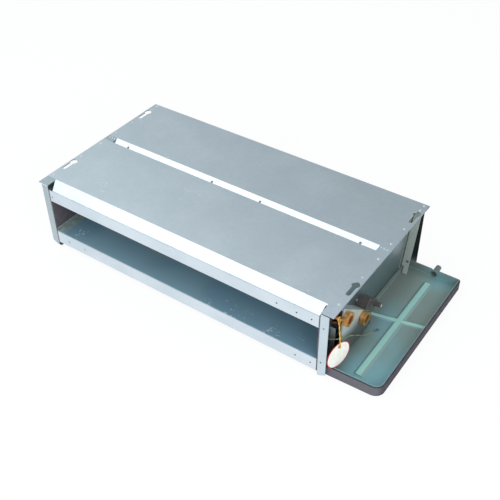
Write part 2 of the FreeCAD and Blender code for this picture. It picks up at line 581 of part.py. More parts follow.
# Headers with their feeders, each brazed into one piece.
deep_supply, deep_return, deep_vent = "-42", "-22", "-27"
supply_along, supply_deep, return_along = "-8", "-25.2", "120"
pieces = [cylinder("y", "header", "tube_pitch*0.5-4", "tube_pitch*6.5+8", "header_out", deep_supply)]
for i in range(0, 8, 2):
    pieces += feeder(f"tube_pitch*{i + 0.5}", rows[2], deep_supply)
elbow = ("header_out", supply_along, supply_deep)
pieces.append(leg("header-1", ("header_out", "tube_pitch*0.5+4", deep_supply), elbow))
pieces.append(
    cylinder("x", "header+1", "header_out-header", "header_out+header", supply_along, supply_deep))
pieces.append(leg("vent_pipe", elbow, ("header_out", "vent_at+3", deep_vent)))
pieces.append(cylinder("y", "vent_pipe+0.3", "vent_at", "vent_at+6", "header_out", deep_vent))
join("supply_header", pieces, **lean)
pieces = [cylinder("y", "header", "tube_pitch*1.5-8", "tube_pitch*7.5+5", "header_out", deep_return)]
for i in range(1, 8, 2):
    pieces += feeder(f"tube_pitch*{i + 0.5}", rows[0], deep_return)
join("return_header", pieces, **lean)

# Brass unions through the cover.
for label, along, away in (("supply_union", supply_along, supply_deep),
                           ("return_union", return_along, deep_return)):
    union = new_body(label, shift_y="coil_front", shift_z="coil_top", tilt="coil_tilt")
    pad(union, "x", "header_out+header", "union_start+union_thick", (along, away, "union_bore+union_wall"))
    corners = [(f"{along}+union_hex*cos({60 * k})", f"{away}+union_hex*sin({60 * k})") for k in range(6)]
    pad(union, "x", "union_start", "union_start+union_thick", corners)
    cut(union, "x", "header_out+header+1.6", "union_start+union_thick+1", (along, away, "union_bore"))
    cut(union, "x", "header_out+header-1", "header_out+header+3", (along, away, "header-1.5"))

# Air vent on the end of the small pipe, with its turning screw.
vent = new_body("air_vent_body", shift_y="coil_front", shift_z="coil_top", tilt="coil_tilt")
pad(vent, "y", "vent_at-14", "vent_at", ("header_out", deep_vent, "5.5"))
pad(vent, "x", "header_out", "vent_neck", ("vent_at-8", deep_vent, "4"))
screw = new_body("air_vent_screw", shift_y="coil_front", shift_z="coil_top", tilt="coil_tilt")
pad(screw, "x", "vent_neck", "vent_neck+3", ("vent_at-8", deep_vent, "3"))
pad(screw, "x", "vent_neck+3", "vent_neck+6", rect("vent_at-14", "-28.5", "vent_at-2", "-25.5"))

# Sheet cover over the headers.
cover = new_body("header_cover")


def cover_line(inset):
    low = "cover_low" if inset == "0" else "cover_low-1"
    drop = f"{inset}*(1/cos(coil_tilt)-tan(coil_tilt))"
    return [(f"cover_front+{inset}", low), (f"cover_rear-{inset}", low),
            (f"cover_rear-{inset}", f"cover_step-{drop}"),
            (f"cover_front+{inset}", f"cover_top-{inset}*(1/cos(coil_tilt)+tan(coil_tilt))")]


pad(cover, "x", "wall_out", "cover_face", cover_line("0"))
cut(cover, "x", "wall_out-1", "cover_face-metal", cover_line("metal"))
cut(cover, "x", "wall_out-1", "wall_out+8",
    rect("cover_front-1", "cover_low-1", "cover_rear+1", "tray_wall+2"))
spots = []
for along, away in ((supply_along, supply_deep), (return_along, deep_return)):
    spots.append((f"coil_front+({along})*cos(coil_tilt)+({away})*sin(coil_tilt)",
                  f"coil_top-({along})*sin(coil_tilt)+({away})*cos(coil_tilt)", "union_bore+union_wall+0.6"))
cut(cover, "x", "header_out+header-1.5", "cover_face+1", *spots)
open_top = "cover_top-9"
cut(cover, "y", "cover_front-1", "cover_front+metal+0.2",
    [("wall_out+cover_tab", "cover_low+6"), ("cover_face-4", "cover_low+6"), ("cover_face-4", open_top),
     ("wall_out-1", open_top), ("wall_out-1", "cover_tab_top"), ("wall_out+cover_tab", "cover_tab_top")])

# Terminal box along the slope of the cover, its lid, block and gland.
box_frame = dict(shift_y="cover_front", shift_z="cover_top", tilt="coil_tilt")
box = new_body("terminal_box", **box_frame)
pad(box, "x", "wall_out", "wall_out+box_out", rect("box_start", "1.5", "box_start+box_long", "box_high"))
cut(box, "x", "wall_out+box_wall", "wall_out+box_out+1",
    rect("box_start+box_wall", "1.5+box_wall", "box_start+box_long-box_wall", "box_high-box_wall"))
lid = new_body("terminal_box_lid", **box_frame)
pad(lid, "x", "wall_out+box_out", "wall_out+box_out+box_lid",
    rect("box_start-0.8", "0.7", "box_start+box_long+0.8", "box_high+0.8"))
cut(lid, "x", "wall_out+box_out-1", "wall_out+box_out+box_lid+1",
    ("box_start+box_long-13", "21", "gland-1.2"))
block = new_body("terminal_block", **box_frame)
pad(block, "x", "wall_out+box_wall", "wall_out+box_wall+14",
    rect("box_start+8", "8", "box_start+box_long-22", "box_high-8"))
gland = new_body("cable_gland", **box_frame)
where = ("box_start+box_long-13", "21")
nut = [(f"{where[0]}+(gland+2)*cos({60 * k})", f"{where[1]}+(gland+2)*sin({60 * k})") for k in range(6)]
pad(gland, "x", "wall_out+box_out+box_lid", "wall_out+box_out+box_lid+6", nut)
pad(gland, "x", "wall_out+box_out+box_lid", "wall_out+box_out+box_lid+21", (*where, "gland"))
cut(gland, "x", "wall_out+box_out+box_lid-1", "wall_out+box_out+box_lid+22", (*where, "gland-2.5"))


# Side drain pan under the valves, with ribs, and its foam jacket.
def tray_line(inset, left):
    drift = f"tray_skew*(({left})-tray_left)/(tray_right-({inset})-tray_left)"
    return [(left, f"tray_front+{inset}+{drift}"), (f"tray_right-{inset}", f"tray_front+tray_skew+{inset}"),
            (f"tray_right-{inset}", f"tray_rear-{inset}"), (left, f"tray_rear-{inset}")]


def round_corners(body, feature, inset, low):
    """Rounds the two upright edges on the free side of the pan."""
    doc.recompute()
    for radius, along in (("tray_round", "tray_front+tray_skew"), ("tray_round_rear", "tray_rear")):
        near = FreeCAD.Vector(val(f"tray_right-({inset})"), 0, 0)
        sign = 1 if along != "tray_rear" else -1
        near.y = val(f"{along}+{sign}*({inset})")
        picks = []
        for number, edge in enumerate(feature.Shape.Edges, 1):
            a, b = edge.Vertexes[0].Point, edge.Vertexes[-1].Point
            if abs(a.x - b.x) < 0.01 and abs(a.y - b.y) < 0.01 and abs(a.z - b.z) > 1:
                if abs(a.x - near.x) < 0.05 and abs(a.y - near.y) < 0.05:
                    picks.append(f"Edge{number}")
        got = body.newObject("PartDesign::Fillet", "corner")
        got.Base = (feature, picks)
        bind(got, "Radius", f"{radius}-({inset})")
        doc.recompute()
        feature = got
    body.Tip = feature
    return feature


def tray_block(label, inset, low, high, left):
    body = new_body(label, keep=False)
    feature = pad(body, "z", low, high, tray_line(inset, left))
    round_corners(body, feature, inset, low)
    return body


def take(label, base, tool, keep=True):
    got = doc.addObject("Part::Cut", label)
    got.Label = label
    got.Base, got.Tool = base, tool
    if keep:
        parts[label] = got
    return got


inner = "(tray_foam+pan_metal)"
foam_rim = "tray_rim-2.5"
parts["side_pan_foam"] = tray_block("side_pan_foam", "0", "0", "tray_foam", "tray_left")

# Foam strips on the base sheet. The rear one is notched for the spigot.
band = tray_block("foam_outer", "0", "tray_foam", foam_rim, "tray_left")
foam_hollow = tray_block("foam_inner", "tray_foam", "0", "tray_rim+3", "tray_left-5")
long_run = ("tray_front+tray_skew+tray_round", "tray_rear-tray_round_rear")
side_gap = new_body("foam_side_gap", keep=False)
pad(side_gap, "z", "0", "tray_rim", rect("tray_right-tray_foam-1", long_run[0], "tray_right+1", long_run[1]))
notch = new_body("foam_notch", keep=False)
pad(notch, "z", "0", "tray_rim",
    rect("rib_across-drain-1", "tray_rear-tray_foam-1", "rib_across+drain+1", "tray_rear+1"))
tools = doc.addObject("Part::MultiFuse", "foam_tools")
tools.Shapes = [foam_hollow, side_gap, notch]
take("side_foam_ends", band, tools)
strip = new_body("side_foam_long")
pad(strip, "z", "tray_foam", foam_rim, rect("tray_right-tray_foam", long_run[0], "tray_right", long_run[1]))

pan_solid = tray_block("pan_outer", "tray_foam", "tray_foam", "tray_rim", "tray_left")
pan_hollow = tray_block("pan_inner", inner, "tray_foam+pan_metal", "tray_rim+3", "tray_left+pan_metal")
low_side = new_body("pan_low_side", keep=False)
pad(low_side, "z", "tray_wall", "tray_rim+2",
    rect("tray_left-2", f"tray_front+{inner}+3", "tray_left+pan_metal+1", f"tray_rear-{inner}"))
pad(low_side, "z", "gutter_low-spout_slip", "tray_wall+1",
    rect("tray_left-2", "spout_at-spout_half-spout_slip", "tray_left+pan_metal+1",
         "spout_at+spout_half+spout_slip"))
spare_hole = cylinder("y", "drain+0.2", "tray_rear-20", "tray_rear+5", "origin_x+rib_across", "drain_up")
bind(spare_hole, "Placement.Base.y", "origin_y+tray_rear-20")
tools = doc.addObject("Part::MultiFuse", "pan_tools")
tools.Shapes = [pan_hollow, low_side, spare_hole]
shell = take("pan_shell", pan_solid, tools, keep=False)
ribs = new_body("pan_ribs", keep=False)
floor = "tray_foam+pan_metal*0.5"
top = "tray_foam+pan_metal+rib_high"
pad(ribs, "y", "tray_front+40", "tray_rear-42",
    [("rib_across-rib_half", floor), ("rib_across+rib_half", floor), ("rib_across+7", top),
     ("rib_across-7", top)])


def cross_section(middle):
    return [(f"{middle}-rib_half+3", floor), (f"{middle}+rib_half-3", floor), (f"{middle}+4", top),
            (f"{middle}-4", top)]


loft(ribs, "x", ("tray_left+12", "tray_right-11"), cross_section("(rib_along-rib_skew)"),
     cross_section("(rib_along+rib_skew)"))
whole = doc.addObject("Part::Fuse", "side_drain_pan")
whole.Label = "side_drain_pan"
whole.Base, whole.Tool = shell, ribs
parts["side_drain_pan"] = whole

spigot = new_body("drain_spigot")
inside = f"tray_rear-{inner}"
shoulder = "tray_rear+0.5"
pad(spigot, "y", inside, shoulder, ("rib_across", "drain_up", "drain-0.4"))
pad(spigot, "y", shoulder, "drain_end", ("rib_across", "drain_up", "drain"))
pad(spigot, "y", f"{inside}-1.2", inside, ("rib_across", "drain_up", "drain+2"))
cut(spigot, "y", f"{inside}-2", "drain_end+1", ("rib_across", "drain_up", "drain-drain_wall"))

# Fan deck with one discharge opening per fan.
deck = new_body("fan_deck")
pad(deck, "y", "deck", "deck+metal", rect(f"-({half})", "2*metal", half, "deck_top"))
blow_high = "fan_up+scroll_big"
gate = [rect(f"{s}*fan_side-house_half+house_metal+2", "blow_low+house_metal",
             f"{s}*fan_side+house_half-house_metal-2", f"{blow_high}-house_metal") for s in (-1, 1)]
cut(deck, "y", "deck-1", "deck+metal+1", *gate)


# Scroll housings: wrapper between two cheeks, open to the deck, an inlet in each cheek.
def scroll(inset, opening):
    points = [(opening, f"fan_up+scroll_big-{inset}")]
    steps = 18
    for k in range(steps + 1):
        turn = 90 - 270 * k / steps
        radius = f"(scroll_big-scroll_grow*{k}/{steps}-{inset})"
        points.append((f"fan_back+{radius}*cos({turn})", f"fan_up+{radius}*sin({turn})"))
    points.append((f"fan_back-scroll_small+{inset}", f"blow_low+{inset}"))
    points.append((opening, f"blow_low+{inset}"))
    return points


house = new_body("fan_housing_right")
pad(house, "x", "fan_side-house_half", "fan_side+house_half", scroll("0", "deck+metal"))
cut(house, "x", "fan_side-house_half+house_metal", "fan_side+house_half-house_metal",
    scroll("house_metal", "deck+metal-1"))
cut(house, "x", "fan_side-house_half-1", "fan_side+house_half+1", ("fan_back", "fan_up", "inlet"))
mirror(house, "fan_housing_left")

# Forward curved double inlet wheel: centre disc, two rings, hub and the blades.
wheel = new_body("fan_wheel_right", shift_x="fan_side", shift_y="fan_back", shift_z="fan_up")
pad(wheel, "x", "-0.8", "0.8", ("0", "0", "wheel-1"))
pad(wheel, "x", "-16", "16", ("0", "0", "shaft*2.6"))
for lo, hi in (("-wheel_half", "-wheel_half+3"), ("wheel_half-3", "wheel_half")):
    pad(wheel, "x", lo, hi, ("0", "0", "wheel"), ("0", "0", "wheel_eye+6"))
middle = "(wheel_eye+wheel-1)/2"
blade = [("wheel_eye", "0"), (f"{middle}*cos(2.4)", f"{middle}*sin(2.4)"),
         ("(wheel-1)*cos(8)", "(wheel-1)*sin(8)"), ("(wheel-1)*cos(8.8)", "(wheel-1)*sin(8.8)"),
         (f"{middle}*cos(3.4)", f"{middle}*sin(3.4)"), ("wheel_eye*cos(0.9)", "wheel_eye*sin(0.9)")]
one = pad(wheel, "x", "-wheel_half+1", "wheel_half-1", blade)
ring = wheel.newObject("PartDesign::PolarPattern", "blades")
ring.Originals = [one]
axis_line = [p for p in wheel.Origin.OriginFeatures if p.Role == "X_Axis"][0]
ring.Axis = (axis_line, [""])
ring.Angle = 360
bind(ring, "Occurrences", "blade_count")
wheel.Tip = ring
cut(wheel, "x", "-17", "17", ("0", "0", "shaft"))
mirror(wheel, "fan_wheel_left")

# Motor between the fans, its through shaft and the cradle on the deck.
motor = new_body("motor_body", shift_y="fan_back", shift_z="fan_up")
pad(motor, "x", "-motor_half", "motor_half", ("0", "0", "motor"))
pad(motor, "x", "-motor_half-12", "motor_half+12", ("0", "0", "motor*0.36"))
cut(motor, "x", "-motor_half-13", "motor_half+13", ("0", "0", "shaft+shaft_slip"))
axle = new_body("motor_shaft", shift_y="fan_back", shift_z="fan_up")
pad(axle, "x", "-fan_side-24", "fan_side+24", ("0", "0", "shaft"))
cradle = new_body("motor_cradle")
pad(cradle, "x", "-cradle_half", "cradle_half",
    [("deck+metal", "cradle_low-24"), ("deck+metal+2", "cradle_low-24"), ("deck+metal+2", "cradle_low"),
     ("fan_back+motor+6", "cradle_low"), ("fan_back+motor+6", "cradle_low+2"),
     ("deck+metal", "cradle_low+2")])
for s in (-1, 1):
    pad(cradle, "x", f"{s}*cradle_half*0.6-4", f"{s}*cradle_half*0.6+4",
        rect("fan_back-motor-4", "cradle_low+1", "fan_back+motor+4", "fan_up-26"))
cut(cradle, "x", "-cradle_half-1", "cradle_half+1", ("fan_back", "fan_up", "motor+0.1"))
strap = new_body("motor_straps_blank", shift_y="fan_back", shift_z="fan_up", keep=False)
pad(strap, "x", "cradle_half*0.6-4", "cradle_half*0.6+4", ("0", "0", "motor+1.1"))
cut(strap, "x", "cradle_half*0.6-5", "cradle_half*0.6+5", ("0", "0", "motor+0.1"))
cut(strap, "x", "cradle_half*0.6-5", "cradle_half*0.6+5", rect("-motor-3", "-motor-3", "motor+3", "-26"))
for a, b in (("-motor-3.5", "-motor*0.84"), ("motor*0.84", "motor+3.5")):
    pad(strap, "z", "-26", "-25", rect("cradle_half*0.6-4", a, "cradle_half*0.6+4", b))
cut(strap, "x", "cradle_half*0.6-5", "cradle_half*0.6+5", ("0", "0", "motor+0.1"))
other = doc.addObject("Part::Mirroring", "motor_straps_other")
other.Source, other.Normal = strap, (1, 0, 0)
bind(other, "Base.x", "origin_x")
both = doc.addObject("Part::MultiFuse", "motor_straps")
both.Label = "motor_straps"
both.Shapes = [strap, other]
parts["motor_straps"] = both


def rounded(a, b, c, back):
    """Tangent arc at the corner b of the run a, b, c: its two ends, its middle and its radius."""
    one, two = (a - b).normalize(), (c - b).normalize()
    turn = math.pi - one.getAngle(two)
    radius = back / math.tan(turn / 2)
    away = radius * (1 / math.cos(turn / 2) - 1)
    return b + one * back, b + (one + two).normalize() * away, b + two * back, radius


def soft_line(label, route, radius):
    """Cord solid: straight runs joined by tangent arcs through a route chosen by hand."""
    pts = [FreeCAD.Vector(*p) for p in route]
    edges, start, radii = [], pts[0], []
    for a, b, c in zip(pts, pts[1:], pts[2:]):
        near, middle, far, bend_radius = rounded(a, b, c, 0.45 * min((a - b).Length, (c - b).Length))
        radii.append(bend_radius)
        edges += [Part.LineSegment(start, near).toShape(), Part.Arc(near, middle, far).toShape()]
        start = far
    edges.append(Part.LineSegment(start, pts[-1]).toShape())
    return tube_along(label, edges, radius, radii)


def tube_along(label, edges, radius, radii):
    wire = Part.Wire(edges)
    first = edges[0]
    start = first.tangentAt(first.FirstParameter)
    ring = Part.Wire([Part.makeCircle(radius, first.Vertexes[0].Point, start)])
    solid = wire.makePipeShell([ring], True, True)
    got = doc.addObject("Part::Feature", label)
    got.Label = label
    got.Shape = solid
    place(got)
    parts[label] = got
    print(f"{label}: length {wire.Length:.1f}, radii {[round(r, 1) for r in radii]}, "
          f"volume ratio {solid.Volume / (math.pi * radius ** 2 * wire.Length):.4f}")
    return got


# Tag string: hooked over the neck of the vent, gathered below it, down to the knot on the tag.
neck_at = FreeCAD.Vector(val("vent_neck-2"), val("coil_front-60*cos(coil_tilt)-27*sin(coil_tilt)"),
                         val("coil_top+60*sin(coil_tilt)-27*cos(coil_tilt)"))
tag_at = neck_at + FreeCAD.Vector(5, 3.8, -129)
tag_turn = FreeCAD.Rotation(FreeCAD.Vector(1, 0, 0), FreeCAD.Vector(0.9675, -0.2516, 0.0288))
hole_up = 28
hole_at = tag_at + tag_turn.multVec(FreeCAD.Vector(0, 0, hole_up))
string_radius = 1.1
hook = 4 + string_radius + 0.1
knot_radius = 3.4
knot_at = hole_at + FreeCAD.Vector(2.9, 0, 0.4)
drop = knot_at + FreeCAD.Vector(1.6, 0, 1) - neck_at
long = drop.Length
drop.normalize()
sideways = drop.cross(FreeCAD.Vector(-1, 0, 0)).normalize()
spread, gather = 1.25, 17
reach = math.atan2(gather, spread) - math.acos(hook / math.hypot(spread, gather))


def on_loop(side, y, down):
    return neck_at + sideways * (side * y) + drop * down


low = [on_loop(side, spread, long) for side in (1, -1)]
meet = [on_loop(side, spread, gather) for side in (1, -1)]
top = [on_loop(side, hook * math.cos(reach), hook * math.sin(reach)) for side in (1, -1)]
fore = rounded(low[0], meet[0], top[0], 2)
aft = rounded(top[1], meet[1], low[1], 2)
loop = [Part.LineSegment(low[0], fore[0]).toShape(), Part.Arc(*fore[:3]).toShape(),
        Part.LineSegment(fore[2], top[0]).toShape(), Part.Arc(top[0], on_loop(1, 0, -hook), top[1]).toShape(),
        Part.LineSegment(top[1], aft[0]).toShape(), Part.Arc(*aft[:3]).toShape(),
        Part.LineSegment(aft[2], low[1]).toShape()]
tube_along("tag_string", loop, string_radius, [hook, fore[3]])
tag = doc.addObject("PartDesign::Body", "hang_tag")
tag.Label = "hang_tag"
tag.Placement = FreeCAD.Placement(tag_at, tag_turn)
bind(tag, "Placement.Base.x", f"origin_x+{tag_at.x}")
bind(tag, "Placement.Base.y", f"origin_y+{tag_at.y}")
parts["hang_tag"] = tag
pad(tag, "x", "-0.5", "0.5", ("0", "0", "tag_radius"))
cut(tag, "x", "-2", "2", ("0", hole_up, "tag_hole"))
knot = doc.addObject("Part::Sphere", "tag_knot")
knot.Label = "tag_knot"
knot.Radius = knot_radius
place(knot, knot_at.x, knot_at.y, knot_at.z)
parts["tag_knot"] = knot

# Earth wire: out of the open front of the cover, round its face, down to the floor of the side pan.
# Its route is from the outer face of the side wall.
wire_route = [(0.4, 39, 100), (10, 40, 103), (25, 46, 106), (38, 62, 103.5), (38.5, 92, 88),
              (37.5, 124, 61), (37.5, 155, 33), (39, 178, 13), (44, 196, 7), (52, 213, 7)]
wire_route = [(x + val("wall_out"), y, z) for x, y, z in wire_route]
soft_line("earth_wire", wire_route, 1.3)
tip = FreeCAD.Vector(*wire_route[-1])
last = (tip - FreeCAD.Vector(*wire_route[-2])).normalize()
lug = doc.addObject("PartDesign::Body", "ring_terminal")
lug.Label = "ring_terminal"
lug.Placement = FreeCAD.Placement(tip, FreeCAD.Rotation(FreeCAD.Vector(0, 1, 0), last))
bind(lug, "Placement.Base.x", f"origin_x+{tip.x}")
bind(lug, "Placement.Base.y", f"origin_y+{tip.y}")
parts["ring_terminal"] = lug
pad(lug, "y", "0", "8", ("0", "0.3", "1.7"))
pad(lug, "z", "-1.3", "-0.4", ("0", "11.5", "4.4"))
pad(lug, "z", "-1.3", "-0.4", rect("-1.6", "6", "1.6", "9"))
cut(lug, "z", "-3", "1", ("0", "11.5", "2.2"))

# Hexagon screw heads and rivet heads on the sheet metal.
def heads(label, kind, radius, high, spots, turn=None):
    """Group of identical heads; spots are the centres of their seats."""
    group = []
    for spot in spots:
        if kind == "hexagon":
            got = doc.addObject("Part::Prism", "head")
            got.Polygon = 6
            bind(got, "Circumradius", radius)
        else:
            got = doc.addObject("Part::Cylinder", "head")
            bind(got, "Radius", radius)
        bind(got, "Height", high)
        if turn:
            got.Placement = FreeCAD.Placement(FreeCAD.Vector(), turn)
        for letter, text in zip("xyz", spot):
            bind(got, f"Placement.Base.{letter}", text)
        group.append(got)
    return join(label, group)


flat = []
for y in ("fold_run+14", "hanger_front+35", "front_end-26", "rear_start+22", "hanger_rear-78",
          "hanger_rear+21", "case_depth-8"):
    flat += [("hanger_side", y, "case_height"), ("-hanger_side", y, "case_height")]
heads("panel_screws", "hexagon", "screw", "screw_high", flat)
down = FreeCAD.Rotation(FreeCAD.Vector(1, 0, 0), 23.63)
heads("groove_screws", "hexagon", "screw", "screw_high",
      [(x, "rear_start-14", "case_height-14*groove_drop/groove_run")
       for x in ("-wall_in+57", "-82", "89", "wall_in-51")], down)
riv = [(f"{s}*{x}", "rear_start-5.5", "panel_under")
       for s in (-1, 1) for x in ("(wall_out+6)", "(wall_out+15)", "(wall_out+24)")]
heads("flange_rivets", "round", "2.3", "0.9", riv)
outward = FreeCAD.Rotation(FreeCAD.Vector(0, 1, 0), 90)
heads("wall_screws", "hexagon", "screw", "screw_high",
      [("wall_out", "cover_front+135", "cover_top-94"), ("wall_out", "30", "case_height-11"),
       ("wall_out", "cover_rear+25", "case_height-11")], outward)

doc.recompute()

# The finished document is tested before anything is written.
bad = []
for obj in doc.Objects:
    if "Invalid" in obj.State or "Error" in obj.State:
        bad.append(f"{obj.Label}: {obj.State}")
for label, obj in parts.items():
    if obj.Shape.isNull() or not obj.Shape.isValid():
        bad.append(f"{label}: shape")
if bad:
    raise SystemExit("\n".join(bad))
for label, obj in parts.items():
    obj.Shape.exportStep(f"parts/{label}.step")
    box = obj.Shape.BoundBox
    print(f"{label:24s} {len(obj.Shape.Solids):3d} {box.XMin:8.1f} {box.XMax:8.1f} {box.YMin:8.1f} "
          f"{box.YMax:8.1f} {box.ZMin:7.1f} {box.ZMax:7.1f}")
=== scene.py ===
import math

import bpy
import bmesh
from mathutils import Matrix, Vector


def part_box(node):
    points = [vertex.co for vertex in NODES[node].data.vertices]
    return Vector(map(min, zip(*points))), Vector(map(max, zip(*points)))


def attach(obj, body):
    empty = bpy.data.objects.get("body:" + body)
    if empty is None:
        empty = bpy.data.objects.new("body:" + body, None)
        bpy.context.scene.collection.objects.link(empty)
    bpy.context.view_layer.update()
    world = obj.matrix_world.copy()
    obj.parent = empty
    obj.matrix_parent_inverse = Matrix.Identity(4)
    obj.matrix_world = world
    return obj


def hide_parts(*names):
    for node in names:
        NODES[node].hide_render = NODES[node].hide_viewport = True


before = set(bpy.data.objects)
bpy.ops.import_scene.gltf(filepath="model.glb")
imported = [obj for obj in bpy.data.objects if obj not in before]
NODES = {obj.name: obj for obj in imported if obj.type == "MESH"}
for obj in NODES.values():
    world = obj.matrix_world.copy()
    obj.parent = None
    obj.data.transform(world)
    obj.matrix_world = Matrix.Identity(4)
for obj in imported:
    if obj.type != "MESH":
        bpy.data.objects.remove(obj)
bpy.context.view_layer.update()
MM = 0.001

# The casing is measured from its own middle; the frame's zero is the middle of the whole bounding box.
case_middle = (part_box("front_top_panel")[0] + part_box("front_top_panel")[1]) / 2
outlet_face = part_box("side_plate_right")[0].y
CASE = Vector((case_middle.x, outlet_face, 0))


def at(x, y, z):
    """Casing millimetres (x from the middle, y from the outlet face, z from the floor) to the frame."""
    return CASE + Vector((x, y, z)) * MM


# Colours and materials.

def shade(hex_text):
    """sRGB hex to the linear colour that the shader wants."""
    parts = [int(hex_text[i:i + 2], 16) / 255 for i in (1, 3, 5)]
    return tuple(p / 12.92 if p <= 0.04045 else ((p + 0.055) / 1.055) ** 2.4 for p in parts) + (1.0,)


def add(tree, kind, settings=None, **links):
    """Adds a node; settings are its properties, links are input values or sockets by name or number."""
    node = tree.nodes.new(kind)
    for key, value in (settings or {}).items():
        setattr(node, key, value)
    for key, value in links.items():
        by_number = key[0] == "i" and key[1:].isdigit()
        socket = node.inputs[int(key[1:])] if by_number else node.inputs[key.replace("_", " ")]
        if isinstance(value, bpy.types.NodeSocket):
            tree.links.new(value, socket)
        else:
            socket.default_value = value
    return node


def new_material(name):
    """A material with a principled surface, and the place on the piece that its patterns read."""
    material = bpy.data.materials.new(name)
    material.use_nodes = True
    tree = material.node_tree
    place = add(tree, "ShaderNodeTexCoord").outputs["Object"]
    return material, tree, place


def finish_surface(tree, colour, roughness, metallic=0.0, relief=None, strength=0.1, depth_mm=0.2):
    """Links the colour, sets or links the roughness, and lays a fine relief over the surface."""
    surface = tree.nodes["Principled BSDF"]
    tree.links.new(colour, surface.inputs["Base Color"])
    surface.inputs["Metallic"].default_value = metallic
    if isinstance(roughness, bpy.types.NodeSocket):
        tree.links.new(roughness, surface.inputs["Roughness"])
    else:
        surface.inputs["Roughness"].default_value = roughness
    if relief is not None:
        bumps = add(tree, "ShaderNodeBump", None, Height=relief, Strength=strength, Distance=depth_mm * MM)
        tree.links.new(bumps.outputs["Normal"], surface.inputs["Normal"])


def cells_per_metre(size_mm):
    """Texture scale at which one cell of a noise or Voronoi pattern is this many millimetres wide."""
    return 1 / (size_mm * MM)


# A band of Blender's wave texture is this many metres wide at scale 1.
WAVE_BAND = math.tau / 20


def wave_scale(band_mm):
    """Scale of a wave texture whose bands are this many millimetres wide."""
    return WAVE_BAND / (band_mm * MM)


def between(tree, value, low, high, first, second):
    """Colour that runs from first to second while the value runs from low to high."""
    spread = add(tree, "ShaderNodeMapRange", {"interpolation_type": "SMOOTHSTEP"}, Value=value,
                 From_Min=low, From_Max=high)
    return add(tree, "ShaderNodeMix", {"data_type": "RGBA"}, i0=spread.outputs["Result"],
               i6=first, i7=second).outputs[2]


# Galvanised sheet: the handling marks' size and how far apart their patches lie, the unevenness of the
# edge of a painted shade, the depths over which the return flange takes a painted shadow, and the play of
# gloss between crystals.
MARK_MM, MARK_PATCH_MM = 7, 90
SHADE_EDGE_UNEVEN_MM = 20
REAR_FLANGE_MM = (500, 528)
GLOSS_PLAY = 0.03


def galvanised_sheet(name, light, dark, roughness, spangle_mm=7, cloud_mm=150, spangle=0.16, metallic=1.0,
                     side_face_shade=None, wear_and_highlight=None, height_shade=None, rear=None):
    """Hot dip galvanised steel: zinc crystals a few millimetres wide under broad soft clouds of tone.

    Where a side face shade is given, faces that look sideways get it as painted shade. Where a rubbed tone is
    given, a few patches carry short pale handling marks. The height shade is a painted shade tone and the two
    heights, in millimetres, between which it fades, and rear is the painted shadow tone of the flange at the
    return end.
    """
    material, tree, place = new_material(name)
    crystals = add(tree, "ShaderNodeTexVoronoi", {"feature": "F1"}, Vector=place,
                   Scale=cells_per_metre(spangle_mm), Randomness=1.0)
    tone = add(tree, "ShaderNodeSeparateColor", None, Color=crystals.outputs["Color"])
    clouds = add(tree, "ShaderNodeTexNoise", None, Vector=place, Scale=cells_per_metre(cloud_mm), Detail=3.0,
                 Roughness=0.5)
    both = add(tree, "ShaderNodeMath", {"operation": "MULTIPLY_ADD"}, i0=tone.outputs["Red"], i1=spangle,
               i2=clouds.outputs["Fac"])
    colour = between(tree, both.outputs[0], 0.3, 0.75 + spangle, shade(dark), shade(light))
    where = add(tree, "ShaderNodeSeparateXYZ", None, Vector=place)
    # Painted shade: faces that look sideways are darkened.
    if side_face_shade:
        normal = add(tree, "ShaderNodeNewGeometry").outputs["Normal"]
        facing = add(tree, "ShaderNodeSeparateXYZ", None, Vector=normal)
        grey = add(tree, "ShaderNodeMix", {"data_type": "RGBA", "blend_type": "MULTIPLY"}, i0=1.0, i6=colour,
                   i7=shade(side_face_shade)).outputs[2]
        sideways = add(tree, "ShaderNodeMath", {"operation": "ABSOLUTE"}, i0=facing.outputs["X"])
        colour = between(tree, sideways.outputs[0], 0.6, 0.8, colour, grey)
    if wear_and_highlight:
        stretched = add(tree, "ShaderNodeMapping", None, Vector=place, Scale=(0.35, 1.0, 1.0))
        marks = add(tree, "ShaderNodeTexNoise", None, Vector=stretched.outputs["Vector"],
                    Scale=cells_per_metre(MARK_MM), Detail=5.0, Roughness=0.65)
        patches = add(tree, "ShaderNodeTexNoise", None, Vector=place, Scale=cells_per_metre(MARK_PATCH_MM),
                      Detail=1.0)
        joined = add(tree, "ShaderNodeMath", {"operation": "MULTIPLY"}, i0=marks.outputs["Fac"],
                     i1=patches.outputs["Fac"])
        colour = between(tree, joined.outputs[0], 0.4, 0.48, colour, shade(wear_and_highlight))
    # Painted shade that fades in between two heights.
    if height_shade:
        height_shade_tone, low, high = height_shade
        uneven = add(tree, "ShaderNodeMath", {"operation": "MULTIPLY_ADD"}, i0=clouds.outputs["Fac"],
                     i1=-SHADE_EDGE_UNEVEN_MM * MM, i2=where.outputs["Z"])
        colour = between(tree, uneven.outputs[0], low * MM, high * MM, shade(height_shade_tone), colour)
    # Painted shadow on the return flange, cast by the strut.
    if rear:
        start, end = (CASE.y + depth * MM for depth in REAR_FLANGE_MM)
        colour = between(tree, where.outputs["Y"], start, end, colour, shade(rear))
    gloss = add(tree, "ShaderNodeMapRange", None, Value=tone.outputs["Green"], To_Min=roughness - GLOSS_PLAY,
                To_Max=roughness + GLOSS_PLAY)
    finish_surface(tree, colour, gloss.outputs["Result"], metallic, crystals.outputs["Distance"], 0.03, 0.2)
    return material


